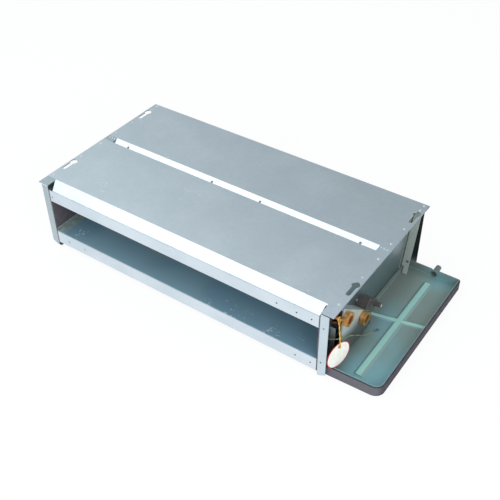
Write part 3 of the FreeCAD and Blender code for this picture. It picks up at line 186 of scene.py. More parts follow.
# Side pan, in millimetres. Near the casing's wall the coat darkens, part dirt and part painted shade. The
# ribs get a painted highlight up their flanks, the painted shade on the outer flank ends at the crest, and
# above the crest stands the pan's wall with its cut rim, whose bare edge carries a painted highlight.
WALL_DIRT_AND_SHADE_MM = (10, 70)
RIB_FLANK_MM, RIB_CREST_MM, ABOVE_RIB_MM = (7.5, 8.6), (8.9, 9.3), (9.3, 9.6)
CUT_RIM_MM = (-0.4, -0.2)
WALL_DIRT_AND_SHADE, RIB_HIGHLIGHT, RIB_FLANK_SHADE, BARE_RIM_AND_HIGHLIGHT = "#78847F", "#A4D6CE", "#8AA5A1", "#93A9A8"


def side_pan_wear_and_light(tree, place, clouds, colour, cool, rim_mm):
    """Cooler towards the outlet and free side, as painted light; dirt and painted shade by the wall; painted
    highlight and shade on the ribs; a bare rim with a painted highlight.
    """
    normal = add(tree, "ShaderNodeNewGeometry").outputs["Normal"]
    facing = add(tree, "ShaderNodeSeparateXYZ", None, Vector=normal)
    where = add(tree, "ShaderNodeSeparateXYZ", None, Vector=place)
    # Painted light: the coat turns cooler towards the outlet and the free side, where more light falls.
    forward = add(tree, "ShaderNodeMath", {"operation": "MULTIPLY_ADD"}, i0=clouds, i1=-0.5,
                  i2=where.outputs["Y"])
    forward = add(tree, "ShaderNodeMath", {"operation": "MULTIPLY_ADD"}, i0=where.outputs["X"], i1=-0.7,
                  i2=forward.outputs[0])
    colour = between(tree, forward.outputs[0], -0.82, -0.54, cool, colour)
    # Dirt and painted shade: the coat darkens near the casing's wall.
    near, far = (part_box("side_drain_pan")[0].x + reach * MM for reach in WALL_DIRT_AND_SHADE_MM)
    colour = between(tree, where.outputs["X"], near, far, shade(WALL_DIRT_AND_SHADE), colour)

    def up_from(heights, first, second):
        return between(tree, where.outputs["Z"], heights[0] * MM, heights[1] * MM, first, second)

    # Painted highlight up the rib flanks, and painted shade below the crest on the flanks that face the free
    # side.
    wear_and_highlight = up_from(ABOVE_RIB_MM, up_from(RIB_FLANK_MM, colour, shade(RIB_HIGHLIGHT)), colour)
    flank_shade = between(tree, facing.outputs["X"], 0.08, 0.3, wear_and_highlight, shade(RIB_FLANK_SHADE))
    colour = up_from(RIB_CREST_MM, flank_shade, wear_and_highlight)
    # The rim's bare cut edge, with a painted highlight.
    return up_from([rim_mm + edge for edge in CUT_RIM_MM], colour, shade(BARE_RIM_AND_HIGHLIGHT))


# Coil pan: the scratches' size and how far apart their patches lie, and the worn left end, in millimetres.
SCRATCH_MM, SCRATCH_PATCH_MM = 9, 110
LEFT_END_MM = (16, 40)
SCRATCHED, SPECKLE_DARK, SPECKLE_LIGHT = "#C6DCE6", "#93A8A6", "#B5C6C3"


def coil_pan_wear(tree, place, colour, scuffed_mm):
    """Scratches along the front edge, and a speckled left end."""
    where = add(tree, "ShaderNodeSeparateXYZ", None, Vector=place)
    scratch = add(tree, "ShaderNodeTexNoise", None, Vector=place, Scale=cells_per_metre(SCRATCH_MM),
                  Detail=6.0, Roughness=0.7)
    patches = add(tree, "ShaderNodeTexNoise", None, Vector=place, Scale=cells_per_metre(SCRATCH_PATCH_MM),
                  Detail=1.0)
    joined = add(tree, "ShaderNodeMath", {"operation": "MULTIPLY"}, i0=scratch.outputs["Fac"],
                 i1=patches.outputs["Fac"])
    pale = between(tree, joined.outputs[0], 0.34, 0.4, colour, shade(SCRATCHED))
    start, end = CASE.y + 0.6 * scuffed_mm * MM, CASE.y + scuffed_mm * MM
    colour = between(tree, where.outputs["Y"], start, end, pale, colour)
    speckled = between(tree, scratch.outputs["Fac"], 0.45, 0.6, shade(SPECKLE_DARK), shade(SPECKLE_LIGHT))
    near, far = (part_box("coil_drain_pan")[0].x + reach * MM for reach in LEFT_END_MM)
    return between(tree, where.outputs["X"], near, far, speckled, colour)


def coated_pan(name, base, worn, cool, roughness, metallic, rim_mm=None, scuffed_mm=None):
    """Drain pan steel with a thin teal coat: soft stains where water stood, fine orange peel.

    With a rim height, it takes the side pan's wear, painted light and painted shade. With a scuffed width, it
    wears as the coil pan does.
    """
    material, tree, place = new_material(name)
    pools = add(tree, "ShaderNodeTexNoise", None, Vector=place, Scale=cells_per_metre(120), Detail=4.0,
                Roughness=0.55, Distortion=0.4)
    stain = between(tree, pools.outputs["Fac"], 0.42, 0.66, shade(base), shade(worn))
    wide = add(tree, "ShaderNodeTexNoise", None, Vector=place, Scale=cells_per_metre(240), Detail=2.0)
    colour = between(tree, wide.outputs["Fac"], 0.42, 0.6, stain, shade(cool))
    if rim_mm:
        colour = side_pan_wear_and_light(tree, place, wide.outputs["Fac"], colour, shade(cool), rim_mm)
    if scuffed_mm:
        colour = coil_pan_wear(tree, place, colour, scuffed_mm)
    grain = add(tree, "ShaderNodeTexNoise", None, Vector=place, Scale=cells_per_metre(2.5), Detail=3.0)
    finish_surface(tree, colour, roughness, metallic, grain.outputs["Fac"], 0.1, 0.3)
    return material


def foam_rubber(name, base, dust, front=None):
    """Closed cell insulation foam: matt, with a fine cell skin and paler scuffs, and a painted lighter tone
    on faces that look forward.
    """
    material, tree, place = new_material(name)
    skin = add(tree, "ShaderNodeTexVoronoi", {"feature": "F1"}, Vector=place, Scale=cells_per_metre(1.6))
    scuff = add(tree, "ShaderNodeTexNoise", None, Vector=place, Scale=cells_per_metre(24), Detail=5.0)
    colour = between(tree, scuff.outputs["Fac"], 0.45, 0.75, shade(base), shade(dust))
    # Painted light: faces that look forward are lighter.
    if front:
        normal = add(tree, "ShaderNodeNewGeometry").outputs["Normal"]
        facing = add(tree, "ShaderNodeSeparateXYZ", None, Vector=normal)
        colour = between(tree, facing.outputs["Y"], -0.95, -0.2, shade(front), colour)
    finish_surface(tree, colour, 0.92, 0.0, skin.outputs["Distance"], 0.5, 0.5)
    return material


def turned_metal(name, light, dark, roughness, band_mm=5.655):
    """Machined or drawn metal: faint tool marks across the axis and a slightly darker tarnish.

    The real marks are under a millimetre apart and are drawn wider, so that they show.
    """
    material, tree, place = new_material(name)
    marks = add(tree, "ShaderNodeTexWave", {"wave_type": "BANDS", "bands_direction": "X"}, Vector=place,
                Scale=wave_scale(band_mm), Distortion=1.5, Detail=2.0)
    tarnish = add(tree, "ShaderNodeTexNoise", None, Vector=place, Scale=cells_per_metre(14), Detail=4.0)
    colour = between(tree, tarnish.outputs["Fac"], 0.4, 0.7, shade(light), shade(dark))
    finish_surface(tree, colour, roughness, 1.0, marks.outputs["Fac"], 0.08, 0.2)
    return material


def moulded_plastic(name, base, worn, roughness, grain_mm=0.8):
    """Injection moulded plastic: a spark eroded grain and rubbed high spots."""
    material, tree, place = new_material(name)
    grain = add(tree, "ShaderNodeTexNoise", None, Vector=place, Scale=cells_per_metre(grain_mm), Detail=2.0)
    wear_and_highlight = add(tree, "ShaderNodeTexNoise", None, Vector=place, Scale=cells_per_metre(18), Detail=4.0)
    colour = between(tree, wear_and_highlight.outputs["Fac"], 0.5, 0.8, shade(base), shade(worn))
    finish_surface(tree, colour, roughness, 0.0, grain.outputs["Fac"], 0.15, 0.2)
    return material


def twisted_cord(name, first, second, turn_mm, roughness, tilt_deg=55):
    """Yarn or two colour wire sleeve: slanted bands along the cord.

    The yarn's real twist is finer than a pixel and is drawn wider, so that it shows.
    """
    material, tree, place = new_material(name)
    turned = add(tree, "ShaderNodeMapping", None, Vector=place, Rotation=(math.radians(tilt_deg), 0.3, 0.2))
    bands = add(tree, "ShaderNodeTexWave", {"wave_type": "BANDS", "bands_direction": "Y"},
                Vector=turned.outputs["Vector"], Scale=wave_scale(turn_mm))
    colour = between(tree, bands.outputs["Fac"], 0.4, 0.6, shade(first), shade(second))
    finish_surface(tree, colour, roughness, 0.0, bands.outputs["Fac"], 0.4, 0.3)
    return material


def coated_card(name, base, shadow, roughness=0.45):
    """Laminated card of the hang tag: faint mottling under a soft gloss."""
    material, tree, place = new_material(name)
    mottle = add(tree, "ShaderNodeTexNoise", None, Vector=place, Scale=cells_per_metre(12), Detail=3.0)
    colour = between(tree, mottle.outputs["Fac"], 0.3, 0.7, shade(base), shade(shadow))
    finish_surface(tree, colour, roughness)
    return material


TOP_ZINC = galvanised_sheet("galvanised top panel", "#D9E5EC", "#CEDBE2", 0.34, wear_and_highlight="#E9F1F4")
TRIM_ZINC = galvanised_sheet("galvanised trim strip", "#E0EBF3", "#D3E0E9", 0.42, spangle=0.1)
# Painted shade on the side wall's sideways faces, and a painted shadow on its return flange.
WALL_ZINC = galvanised_sheet("galvanised side wall", "#D2E0E9", "#C5D4DD", 0.44, side_face_shade="#BABEBC",
                             rear="#5C6462")
# A darker copy of the side wall's zinc for the far side as painted shade, with painted shade on its sideways
# faces.
FAR_WALL_ZINC = galvanised_sheet("galvanised left side wall", "#C2D0D6", "#B3C2C9", 0.44, side_face_shade="#C2C6C4")
# Painted shade on the strut's sideways faces, and on its top under the panels.
STRUT_ZINC = galvanised_sheet("galvanised strut", "#C4CCC4", "#B6BEB6", 0.5, metallic=0.3, side_face_shade="#747A78",
                              height_shade=("#59615E", 214, 192))
# Painted shade on the lower part of the header cover.
COVER_ZINC = galvanised_sheet("galvanised header cover", "#D0DAD6", "#B8C2BD", 0.5, metallic=0.6,
                              height_shade=("#666B69", 50, 112))
INNER_ZINC = galvanised_sheet("galvanised inner sheet", "#B9C3C8", "#A4B0B6", 0.45)
PAN_COAT = coated_pan("teal coated pan steel", "#849994", "#8C948A", "#80AEB6", 0.45, 0.2, rim_mm=32.5)
COIL_PAN = coated_pan("coated coil pan steel", "#88ACBD", "#8EAAB4", "#7CA2B6", 0.4, 0.25, scuffed_mm=60)
DARK_FOAM = foam_rubber("closed cell foam", "#423F46", "#504D55", front="#615F66")
WALL_FOAM = foam_rubber("brown grey wall foam", "#5E5860", "#6A656C")
BRASS = turned_metal("machined brass", "#F9BC76", "#DCA25D", 0.36)
COPPER = turned_metal("drawn copper", "#D98B62", "#A9623F", 0.38)
FIN_ALUMINIUM = turned_metal("coil fin aluminium", "#C9D0D6", "#B4BCC3", 0.4, band_mm=13.195)
WHEEL_METAL = turned_metal("pressed wheel sheet", "#C3C8CC", "#AEB5BA", 0.4)
SHAFT_STEEL = turned_metal("ground shaft steel", "#B5B5B3", "#979795", 0.28)
ZINC_SCREW = turned_metal("zinc plated screw", "#F4F7F8", "#E0E6E8", 0.3)
DULL_SCREW = turned_metal("passivated screw", "#8B9298", "#747B82", 0.45)
BLACK_ABS = moulded_plastic("black ABS", "#4E4A49", "#5E5957", 0.5)
PALE_NYLON = moulded_plastic("pale nylon", "#D8D6CC", "#C4C1B6", 0.5)
MOTOR_ENAMEL = moulded_plastic("grey motor enamel", "#5A5F63", "#6C7175", 0.4)
SPIGOT_PVC = moulded_plastic("grey green PVC", "#64736E", "#75847E", 0.5)
FILTER_NYLON = moulded_plastic("black filter thread nylon", "#2E3034", "#3A3C40", 0.6, grain_mm=1.2)
YELLOW_YARN = twisted_cord("yellow yarn", "#E3B85A", "#C08F36", 15.08, 0.85)
EARTH_SLEEVE = twisted_cord("green and yellow wire sleeve", "#727E66", "#969A74", 56.55, 0.5)
TAG_CARD = coated_card("coated tag card", "#FAF8F0", "#F1EEE4")
TAG_RED = coated_card("red printed tag edge", "#E0392C", "#C42D22")

FINISH = {
    TOP_ZINC: ["front_top_panel", "rear_top_panel"],
    TRIM_ZINC: ["outlet_top_strip", "outlet_bottom_strip"],
    WALL_ZINC: ["side_plate_right"],
    FAR_WALL_ZINC: ["side_plate_left"],
    STRUT_ZINC: ["side_strut_left", "side_strut_right"],
    COVER_ZINC: ["header_cover"],
    INNER_ZINC: ["bottom_panel", "return_top_strip", "return_bottom_strip", "filter_rail_bottom",
                 "filter_rail_top", "coil_end_plate_left", "coil_end_plate_right", "coil_baffle", "fan_deck",
                 "fan_housing_left", "fan_housing_right", "motor_cradle", "motor_straps", "filter_frame"],
    PAN_COAT: ["side_drain_pan"],
    SPIGOT_PVC: ["drain_spigot"],
    COIL_PAN: ["coil_drain_pan"],
    DARK_FOAM: ["side_pan_foam", "side_foam_ends", "side_foam_long", "pan_insulation", "top_foam_sheet"],
    WALL_FOAM: ["wall_foam_left", "wall_foam_right"],
    BRASS: ["supply_union", "return_union", "air_vent_body", "air_vent_screw"],
    COPPER: ["coil_bends_left", "coil_bends_right", "supply_header", "return_header"],
    FIN_ALUMINIUM: ["coil_fin_pack"],
    WHEEL_METAL: ["fan_wheel_left", "fan_wheel_right"],
    SHAFT_STEEL: ["motor_shaft"],
    ZINC_SCREW: ["panel_screws", "flange_rivets", "wall_screws"],
    DULL_SCREW: ["groove_screws", "ring_terminal"],
    BLACK_ABS: ["terminal_box", "terminal_box_lid", "cable_gland"],
    MOTOR_ENAMEL: ["motor_body"],
    PALE_NYLON: ["terminal_block"],
    FILTER_NYLON: ["filter_mesh"],
    YELLOW_YARN: ["tag_string", "tag_knot"],
    EARTH_SLEEVE: ["earth_wire"],
    TAG_CARD: ["hang_tag"],
}
for finish, members in FINISH.items():
    for member in members:
        NODES[member].data.materials.clear()
        NODES[member].data.materials.append(finish)

# The camera was solved from the edges of the casing in the photograph.
FOCAL_PIXELS = 805.85
FRAME_PIXELS = 500
camera_spot = at(1117.6, -1224.6, 1605.9)
view = Vector((-0.4369, 0.6213, -0.6505)).normalized()
right = Vector((0.818, 0.575, -0.013))
right = (right - view * right.dot(view)).normalized()
up = right.cross(view)
camera_data = bpy.data.cameras.new("camera")
camera_data.sensor_width = 36.0
camera_data.lens = FOCAL_PIXELS / FRAME_PIXELS * camera_data.sensor_width
camera_data.clip_end = 50
camera = bpy.data.objects.new("camera", camera_data)
bpy.context.scene.collection.objects.link(camera)
camera.matrix_world = Matrix.Translation(camera_spot) @ Matrix((right, up, -view)).transposed().to_4x4()
bpy.context.scene.camera = camera
bpy.context.scene.view_settings.view_transform = "Standard"


# Cords: the earth wire and the loop of yarn that the tag hangs on.

def spline_object(name, route, radius, material, resolution=10):
    """Cord: one NURBS spline with listed control points, and a round bevel."""
    curve = bpy.data.curves.new(name, "CURVE")
    curve.dimensions = "3D"
    line = curve.splines.new("NURBS")
    line.points.add(len(route) - 1)
    for point, spot in zip(line.points, route):
        point.co = (*at(*spot), 1)
    line.order_u = 3
    line.use_endpoint_u = True
    line.resolution_u = resolution
    curve.bevel_depth = radius * MM
    curve.bevel_resolution = 4
    curve.use_fill_caps = True
    curve.materials.append(material)
    piece = bpy.data.objects.new(name, curve)
    bpy.context.scene.collection.objects.link(piece)
    return piece


# Out of the open front of the cover, round its face, down to the floor of the side pan.
WIRE_ROUTE = [(465.4, 39, 100), (475, 40, 103), (490, 46, 106), (503, 62, 103.5), (503.5, 92, 88),
              (502.5, 124, 61), (502.5, 155, 33), (504, 178, 13), (509, 196, 7), (517, 213, 7)]
wire = spline_object("earth_lead", WIRE_ROUTE, 1.3, EARTH_SLEEVE)
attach(wire, "casing")
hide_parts("earth_wire")

# Over the neck of the air vent, gathered 17 mm below it, both strands down to the knot on the tag.
NECK = Vector((500, 28.18, 199.88))
DROP = Vector((0.087, 0.0392, -0.9954))
SIDEWAYS = Vector((0, 0.9992, 0.0393))
# Each pair is the way from the neck's axis sideways and down.
STRAND = [(1.25, 100), (1.25, 62), (1.25, 30), (1.4, 17), (5.3, 2.4), (5.3, -2.2), (2.2, -5.3)]
LOOP = STRAND + [(-side, down) for side, down in reversed(STRAND)]
YARN_ROUTE = [tuple(NECK + SIDEWAYS * side + DROP * down) for side, down in LOOP]
yarn = spline_object("tag_yarn_loop", YARN_ROUTE, 1.1, YELLOW_YARN)
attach(yarn, "casing")
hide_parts("tag_string")


# Pieces that are finer than their solids.

def mesh_object(name, mesh, material, smooth=False):
    piece = bpy.data.objects.new(name, mesh)
    bpy.context.scene.collection.objects.link(piece)
    mesh.materials.clear()
    mesh.materials.append(material)
    for face in mesh.polygons:
        face.use_smooth = smooth
    return piece


def flat_mesh(name, verts, faces):
    mesh = bpy.data.meshes.new(name)
    mesh.from_pydata([tuple(v) for v in verts], [], faces)
    mesh.update()
    return mesh


def face_outwards(mesh):
    work = bmesh.new()
    work.from_mesh(mesh)
    bmesh.ops.recalc_face_normals(work, faces=work.faces)
    work.to_mesh(mesh)
    work.free()
    return mesh


def prism(name, outline, lift):
    """Closed plate: an outline of points and the same outline lifted by a vector."""
    count = len(outline)
    verts = list(outline) + [p + lift for p in outline]
    faces = [list(range(count))[::-1], list(range(count, 2 * count))]
    faces += [[i, (i + 1) % count, (i + 1) % count + count, i + count] for i in range(count)]
    return face_outwards(flat_mesh(name, verts, faces))


def turned_shape(name, rings, sides=12):
    """Closed stack of rings on the third axis: radius and height in millimetres, and the hexagon's share."""
    verts = []
    half_flat = math.pi / 6
    for radius, height, hexagon in rings:
        for k in range(sides):
            angle = math.tau * k / sides
            to_flat = math.cos(half_flat) / math.cos((angle + half_flat) % (2 * half_flat) - half_flat)
            r = radius * MM * (1 + hexagon * (to_flat - 1))
            verts.append((r * math.cos(angle), r * math.sin(angle), height * MM))
    faces = [list(range(sides))[::-1], [len(verts) - sides + k for k in range(sides)]]
    for level in range(len(rings) - 1):
        for k in range(sides):
            low, nxt = level * sides + k, level * sides + (k + 1) % sides
            faces.append([low, nxt, nxt + sides, low + sides])
    return face_outwards(flat_mesh(name, verts, faces))


def repeated(name, template, spots, material, turn=(0.0, 0.0, 0.0)):
    """Geometry Nodes: the template mesh on every spot, made real and given its material."""
    seed = bpy.data.objects.new(name + " template", template)
    bpy.context.scene.collection.objects.link(seed)
    holder = mesh_object(name, flat_mesh(name + " spots", spots, []), material)
    tree = bpy.data.node_groups.new(name + " layout", "GeometryNodeTree")
    tree.interface.new_socket("Spots", in_out="INPUT", socket_type="NodeSocketGeometry")
    piece_in = tree.interface.new_socket("Piece", in_out="INPUT", socket_type="NodeSocketObject")
    turn_in = tree.interface.new_socket("Turn", in_out="INPUT", socket_type="NodeSocketVector")
    tree.interface.new_socket("Result", in_out="OUTPUT", socket_type="NodeSocketGeometry")
    source = add(tree, "NodeGroupInput")
    shown = add(tree, "GeometryNodeObjectInfo", None, Object=source.outputs["Piece"])
    placed = add(tree, "GeometryNodeInstanceOnPoints", None, Points=source.outputs["Spots"],
                 Instance=shown.outputs["Geometry"], Rotation=source.outputs["Turn"])
    real = add(tree, "GeometryNodeRealizeInstances", None, Geometry=placed.outputs["Instances"])
    dressed = add(tree, "GeometryNodeSetMaterial", None, Geometry=real.outputs["Geometry"], Material=material)
    target = add(tree, "NodeGroupOutput")
    tree.links.new(dressed.outputs["Geometry"], target.inputs["Result"])
    layout = holder.modifiers.new("layout", "NODES")
    layout.node_group = tree
    layout[piece_in.identifier] = seed
    layout[turn_in.identifier] = turn
    bpy.context.view_layer.update()
    graph = bpy.context.evaluated_depsgraph_get()
    mesh = bpy.data.meshes.new_from_object(holder.evaluated_get(graph))
    holder.modifiers.clear()
    holder.data = mesh
    mesh.name = name
    mesh.materials.clear()
    mesh.materials.append(material)
    bpy.data.objects.remove(seed)
    return holder


def finish_piece(piece, slot, *replaced, body="casing"):
    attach(piece, body)
    if replaced:
        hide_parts(*replaced)


# The coil leans. It is measured from its upper rear corner: down the slope, and square to it away from
# the outlet. Its end plates are measured from the middle of the casing.
COIL_TILT = math.radians(40)
COIL_CORNER = (91.5, 182)
TUBE_PITCH, TUBE_RADIUS, TUBE_SIDES = 21.652, 4.76, 12
TUBES_IN_ROW, TUBE_ROWS = 8, 3
COIL_LEFT, COIL_RIGHT = -428, 455
FIN_GAP, FIN_THICK, FIN_RIPPLE = 2.1, 0.25, 0.7
END_PLATE = 0.6


def on_slope(corner, x, down, away):
    """Point on a plane that leans as the coil does, from a corner given as y and z."""
    y = corner[0] + down * math.cos(COIL_TILT) + away * math.sin(COIL_TILT)
    z = corner[1] - down * math.sin(COIL_TILT) + away * math.cos(COIL_TILT)
    return at(x, y, z)


coil_long = TUBE_PITCH * TUBES_IN_ROW
coil_deep = TUBE_PITCH * TUBE_ROWS
# A fin has a rippled edge as the press leaves it, one wave for every tube.
half_waves = TUBES_IN_ROW * 2
ripple = [(coil_long * step / half_waves, -coil_deep + (0.0 if step % 2 else FIN_RIPPLE))
          for step in range(half_waves + 1)]
corner = on_slope(COIL_CORNER, 0, 0, 0)
edge = [on_slope(COIL_CORNER, 0, down, away) - corner for down, away in ripple + [(coil_long, 0), (0, 0)]]
fin = prism("fin", edge, Vector((FIN_THICK * MM, 0, 0)))
count = int((COIL_RIGHT - COIL_LEFT - 1) / FIN_GAP)
spots = [on_slope(COIL_CORNER, COIL_LEFT + END_PLATE + i * FIN_GAP, 0, 0) for i in range(count)]
finish_piece(repeated("coil_fins", fin, spots, FIN_ALUMINIUM), "fins", "coil_fin_pack")
ring = []
for k in range(TUBE_SIDES):
    angle = k * math.tau / TUBE_SIDES
    down, away = TUBE_RADIUS * math.cos(angle), TUBE_RADIUS * math.sin(angle)
    ring.append(on_slope(COIL_CORNER, 0, down, away) - corner)
tube = prism("tube", ring, Vector(((COIL_RIGHT - COIL_LEFT) * MM, 0, 0)))
spots = [on_slope(COIL_CORNER, COIL_LEFT, TUBE_PITCH * (i + 0.5), -TUBE_PITCH * (j + 0.5))
         for i in range(TUBES_IN_ROW) for j in range(TUBE_ROWS)]
finish_piece(repeated("coil_tubes", tube, spots, COPPER), "copper")

# Self drilling screws: a pressed washer, a hexagon head and a dished top.
SCREW_RINGS = [(4.0, 0, 0), (3.9, 0.4, 0), (3.2, 0.55, 1), (3.2, 1.45, 1), (3.0, 1.6, 1), (2.0, 1.6, 0.5),
               (1.7, 1.3, 0)]
head = turned_shape("screw head", SCREW_RINGS)
# A head is made pointing up. These turns point it out of the right side, out of the groove's slope and
# out of the leaning struts.
SIDEWAYS_TURN = (0.0, math.pi / 2, 0.0)
GROOVE_TURN = (math.radians(23.63), 0.0, 0.0)
STRUT_TURN = (math.radians(77.5), 0.0, 0.0)
CASE_TOP = 225
FLANGE_SCREW_X = 486
FLANGE_SCREWS_Y = [49, 168, 253, 326, 402, 501, 526]
WALL_SCREWS = [(465, 193, 113), (465, 30, 214), (465, 250, 214)]
GROOVE_SCREWS = [(x, 290, 218.875) for x in (-406.8, -82, 89, 412.8)]
STRUT_BOLTS = [(side * 480, 479.1, 48) for side in (-1, 1)]
spots = [at(side * FLANGE_SCREW_X, y, CASE_TOP) for side in (-1, 1) for y in FLANGE_SCREWS_Y]
finish_piece(repeated("panel_screw_heads", head, spots, ZINC_SCREW), "screw_zinc", "panel_screws")
spots = [at(*spot) for spot in WALL_SCREWS]
finish_piece(repeated("wall_screw_heads", head, spots, ZINC_SCREW, SIDEWAYS_TURN), "screw_zinc",
             "wall_screws")
spots = [at(*spot) for spot in GROOVE_SCREWS]
finish_piece(repeated("groove_screw_heads", head, spots, DULL_SCREW, GROOVE_TURN), "screw_zinc",
             "groove_screws")
spots = [at(*spot) for spot in STRUT_BOLTS]
finish_piece(repeated("strut_bolts", head, spots, DULL_SCREW, STRUT_TURN), "screw_zinc")

# Snap head rivets that hold the two panels to the flanges, three in a row on either side.
RIVET_RINGS = [(2.3, 0, 0), (2.15, 0.4, 0), (1.5, 0.75, 0), (0.5, 0.9, 0)]
RIVETS_X, RIVETS_Y, RIVETS_Z = (471, 480, 489), 298.5, 223.8
rivet = turned_shape("rivet head", RIVET_RINGS, 10)
spots = [at(side * x, RIVETS_Y, RIVETS_Z) for side in (-1, 1) for x in RIVETS_X]
finish_piece(repeated("flange_rivet_heads", rivet, spots, ZINC_SCREW), "screw_zinc", "flange_rivets")

# Lid of the terminal box: four small screws and five moulded ribs. The box leans as the cover does.
BOX_CORNER = (58, 207)
LID_FACE = 495.5
LID_SCREW_RINGS = [(2.2, 0, 0), (2.1, 0.7, 0), (1.2, 0.8, 0), (0.9, 0.4, 0)]
LID_SCREWS_DOWN, LID_SCREWS_AWAY = (173.5, 210), (4.5, 28)
LID_RIBS, LID_RIB_FIRST, LID_RIB_PITCH, LID_RIB_HIGH, LID_RIB_SUNK = 5, 179, 5, 0.8, 0.1
LID_RIB_OUTLINE = [(-0.7, 7), (0.7, 7), (0.7, 26), (-0.7, 26)]
spots = [on_slope(BOX_CORNER, LID_FACE, down, away) for down in LID_SCREWS_DOWN for away in LID_SCREWS_AWAY]
small = turned_shape("lid screw", LID_SCREW_RINGS, 10)
finish_piece(repeated("terminal_lid_screws", small, spots, DULL_SCREW, SIDEWAYS_TURN), "screw_zinc")
rib_corner = on_slope(BOX_CORNER, LID_FACE, 0, 0)
rib_outline = [on_slope(BOX_CORNER, LID_FACE, down, away) - rib_corner for down, away in LID_RIB_OUTLINE]
rib = prism("lid rib", rib_outline, Vector((LID_RIB_HIGH * MM, 0, 0)))
spots = [on_slope(BOX_CORNER, LID_FACE - LID_RIB_SUNK, LID_RIB_FIRST + LID_RIB_PITCH * k, 0)
         for k in range(LID_RIBS)]
finish_piece(repeated("terminal_lid_ribs", rib, spots, BLACK_ABS), "black_plastic")

# Cable gland: hexagon, domed nut with a mouth, and the pale seal inside it.
GLAND_RINGS = [(8.5, 0, 1), (8.5, 5.6, 1), (8.1, 6, 1), (6.4, 6.2, 0), (6.5, 7, 0), (6.5, 15.5, 0),
               (5.9, 18.5, 0), (4.6, 20.6, 0), (4.2, 20.6, 0), (4.1, 9, 0)]
SEAL_RINGS = [(4.0, 10, 0), (4.0, 20.7, 0), (3.6, 21, 0), (2.6, 21, 0), (2.5, 14, 0)]
GLAND_DOWN, GLAND_AWAY, GLAND_SIDES = 223, 21, 24
gland_spot = [on_slope(BOX_CORNER, LID_FACE, GLAND_DOWN, GLAND_AWAY)]
gland = turned_shape("gland", GLAND_RINGS, GLAND_SIDES)
finish_piece(repeated("cable_gland_nut", gland, gland_spot, BLACK_ABS, SIDEWAYS_TURN), "black_plastic",
             "cable_gland")
seal = turned_shape("seal", SEAL_RINGS, GLAND_SIDES)
finish_piece(repeated("cable_gland_seal", seal, gland_spot, PALE_NYLON, SIDEWAYS_TURN), "pale_plastic")

# Filter: threads every 2.6 mm both ways, coarser than the real 0.6 mm weave so that they show. The level
# threads lie a little in front of the upright ones.
THREAD, THREAD_GAP, THREAD_SHIFT = 0.8, 2.6, 0.3
low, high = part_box("filter_mesh")
depth = (low.y + high.y) / 2


def thread_bar(name, along_x):
    half = THREAD * MM / 2
    square = [(-half, -half), (half, -half), (half, half), (-half, half)]
    if along_x:
        return prism(name, [Vector((0, a, b)) for a, b in square], Vector((high.x - low.x, 0, 0)))
    return prism(name, [Vector((a, b, 0)) for a, b in square], Vector((0, 0, high.z - low.z)))


gap, shift = THREAD_GAP * MM, THREAD_SHIFT * MM
spots = [Vector((low.x, depth - shift, low.z + gap * (k + 0.5))) for k in range(int((high.z - low.z) / gap))]
level = repeated("filter_level_threads", thread_bar("level thread", True), spots, FILTER_NYLON)
spots = [Vector((low.x + gap * (k + 0.5), depth + shift, low.z)) for k in range(int((high.x - low.x) / gap))]
upright = repeated("filter_upright_threads", thread_bar("upright thread", False), spots, FILTER_NYLON)
finish_piece(level, "filter_mesh", body="return_filter")
finish_piece(upright, "filter_mesh", "filter_mesh", body="return_filter")

# Printed red edge on both faces of the tag and round its rim.
TAG_MIDDLE = Vector((505, 31.98, 70.88))
tag_normal = Vector((0.9675, -0.2516, 0.0288)).normalized()
tag_up = (Vector((0, 0, 1)) - tag_normal * tag_normal.z).normalized()
tag_side = tag_normal.cross(tag_up)
EDGE_OUTER, EDGE_INNER, EDGE_LIFT, EDGE_STEPS = 40.55, 38.2, 0.56, 72
verts, faces = [], []
# Four rings of points: outer and inner on the front, then outer and inner on the back.
for side in (1, -1):
    for radius in (EDGE_OUTER, EDGE_INNER):
        for k in range(EDGE_STEPS):
            angle = math.tau * k / EDGE_STEPS
            spot = TAG_MIDDLE + tag_up * (radius * math.cos(angle)) + tag_side * (radius * math.sin(angle))
            verts.append(at(*(spot + tag_normal * (EDGE_LIFT * side))))
for k in range(EDGE_STEPS):
    nxt = (k + 1) % EDGE_STEPS
    for a, b in ((0, 1), (1, 3), (3, 2), (2, 0)):
        faces.append([a * EDGE_STEPS + k, a * EDGE_STEPS + nxt, b * EDGE_STEPS + nxt, b * EDGE_STEPS + k])
tag_edge = mesh_object("tag_edge", face_outwards(flat_mesh("tag_edge", verts, faces)), TAG_RED)
finish_piece(tag_edge, "tag_card")

# Stage and light: a pale floor that the camera and the sheets see as nearly white, with the object's soft
# shadow. Its reach is in metres.
FLOOR_REACH = 6
FLOOR_GLOW = 0.9
floor_corners = [(x * FLOOR_REACH, y * FLOOR_REACH, 0) for x, y in ((-1, -1), (1, -1), (1, 1), (-1, 1))]
floor_mesh = flat_mesh("floor", floor_corners, [(0, 1, 2, 3)])
floor_material = bpy.data.materials.new("pale studio floor")
floor_material.use_nodes = True
tree = floor_material.node_tree
surface = tree.nodes["Principled BSDF"]
surface.inputs["Base Color"].default_value = shade("#F7F7F7")
surface.inputs["Roughness"].default_value = 0.9
path = add(tree, "ShaderNodeLightPath")
glow = add(tree, "ShaderNodeEmission", None, Color=(1, 1, 1, 1), Strength=1.0)
seen = add(tree, "ShaderNodeMath", {"operation": "MAXIMUM"}, i0=path.outputs["Is Camera Ray"],
           i1=path.outputs["Is Glossy Ray"])
seen = add(tree, "ShaderNodeMath", {"operation": "MAXIMUM"}, i0=seen.outputs[0],
           i1=path.outputs["Is Transmission Ray"])
part_glow = add(tree, "ShaderNodeMath", {"operation": "MULTIPLY"}, i0=seen.outputs[0], i1=FLOOR_GLOW)
mixed = add(tree, "ShaderNodeMixShader", None, i0=part_glow.outputs[0], i1=surface.outputs[0],
            i2=glow.outputs[0])
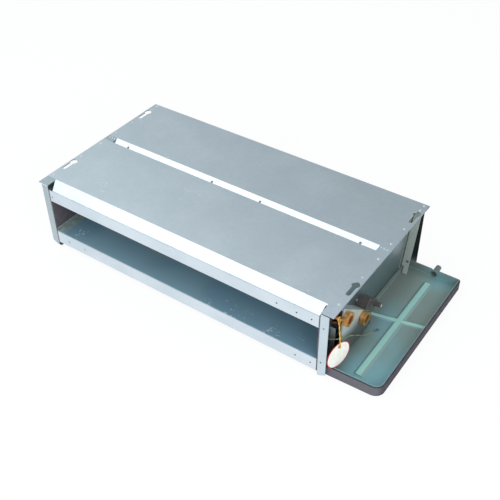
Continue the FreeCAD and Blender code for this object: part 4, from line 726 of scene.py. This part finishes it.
tree.links.new(mixed.outputs[0], tree.nodes["Material Output"].inputs["Surface"])
floor = mesh_object("studio_floor", floor_mesh, floor_material)

# The far side of the room is darker, so that the top panels fall off in tone from left to right. The
# directions are shares of the way back, and the levels are the light from before and from behind.
ROOM_TURNS = (0.44, 0.78)
ROOM_LEVELS = (0.97, 0.42)
world = bpy.data.worlds.new("studio")
bpy.context.scene.world = world
world.use_nodes = True
tree = world.node_tree
tree.nodes.clear()
path = add(tree, "ShaderNodeLightPath")
way = add(tree, "ShaderNodeSeparateXYZ", None, Vector=add(tree, "ShaderNodeTexCoord").outputs["Generated"])
strength = add(tree, "ShaderNodeMapRange", None, Value=way.outputs["Y"], From_Min=ROOM_TURNS[0],
               From_Max=ROOM_TURNS[1], To_Min=ROOM_LEVELS[0], To_Max=ROOM_LEVELS[1])
room = add(tree, "ShaderNodeBackground", None, Color=shade("#EDF4F8"), Strength=strength.outputs["Result"])
white = add(tree, "ShaderNodeBackground", None, Color=(1, 1, 1, 1), Strength=1.0)
pick = add(tree, "ShaderNodeMixShader", None, i0=path.outputs["Is Camera Ray"], i1=room.outputs[0],
           i2=white.outputs[0])
add(tree, "ShaderNodeOutputWorld", None, Surface=pick.outputs[0])


def soft_light(name, spot, look_at, size, watts, hex_text="#FFFFFF", mirrored=False):
    """An area lamp. Only a mirrored one shows in the zinc, so that no sheet turns white from behind."""
    lamp = bpy.data.lights.new(name, "AREA")
    lamp.shape = "RECTANGLE"
    lamp.size, lamp.size_y = size
    lamp.energy = watts
    lamp.color = shade(hex_text)[:3]
    holder = bpy.data.objects.new(name, lamp)
    bpy.context.scene.collection.objects.link(holder)
    aim = Vector(look_at) - Vector(spot)
    holder.matrix_world = Matrix.Translation(spot) @ aim.to_track_quat("-Z", "Y").to_matrix().to_4x4()
    holder.visible_glossy = mirrored


soft_light("overhead softbox", (-1.5, -0.13, 2.6), (-1.5, -0.12, 0.1), (3.0, 1.5), 15.5, "#FFF3EC",
           mirrored=True)
soft_light("front softbox", (-0.6, -2.6, 1.0), (0, 0, 0.1), (2.4, 1.0), 24)
soft_light("right softbox", (2.2, -1.2, 1.5), (0.45, 0, 0.05), (1.6, 1.2), 20)
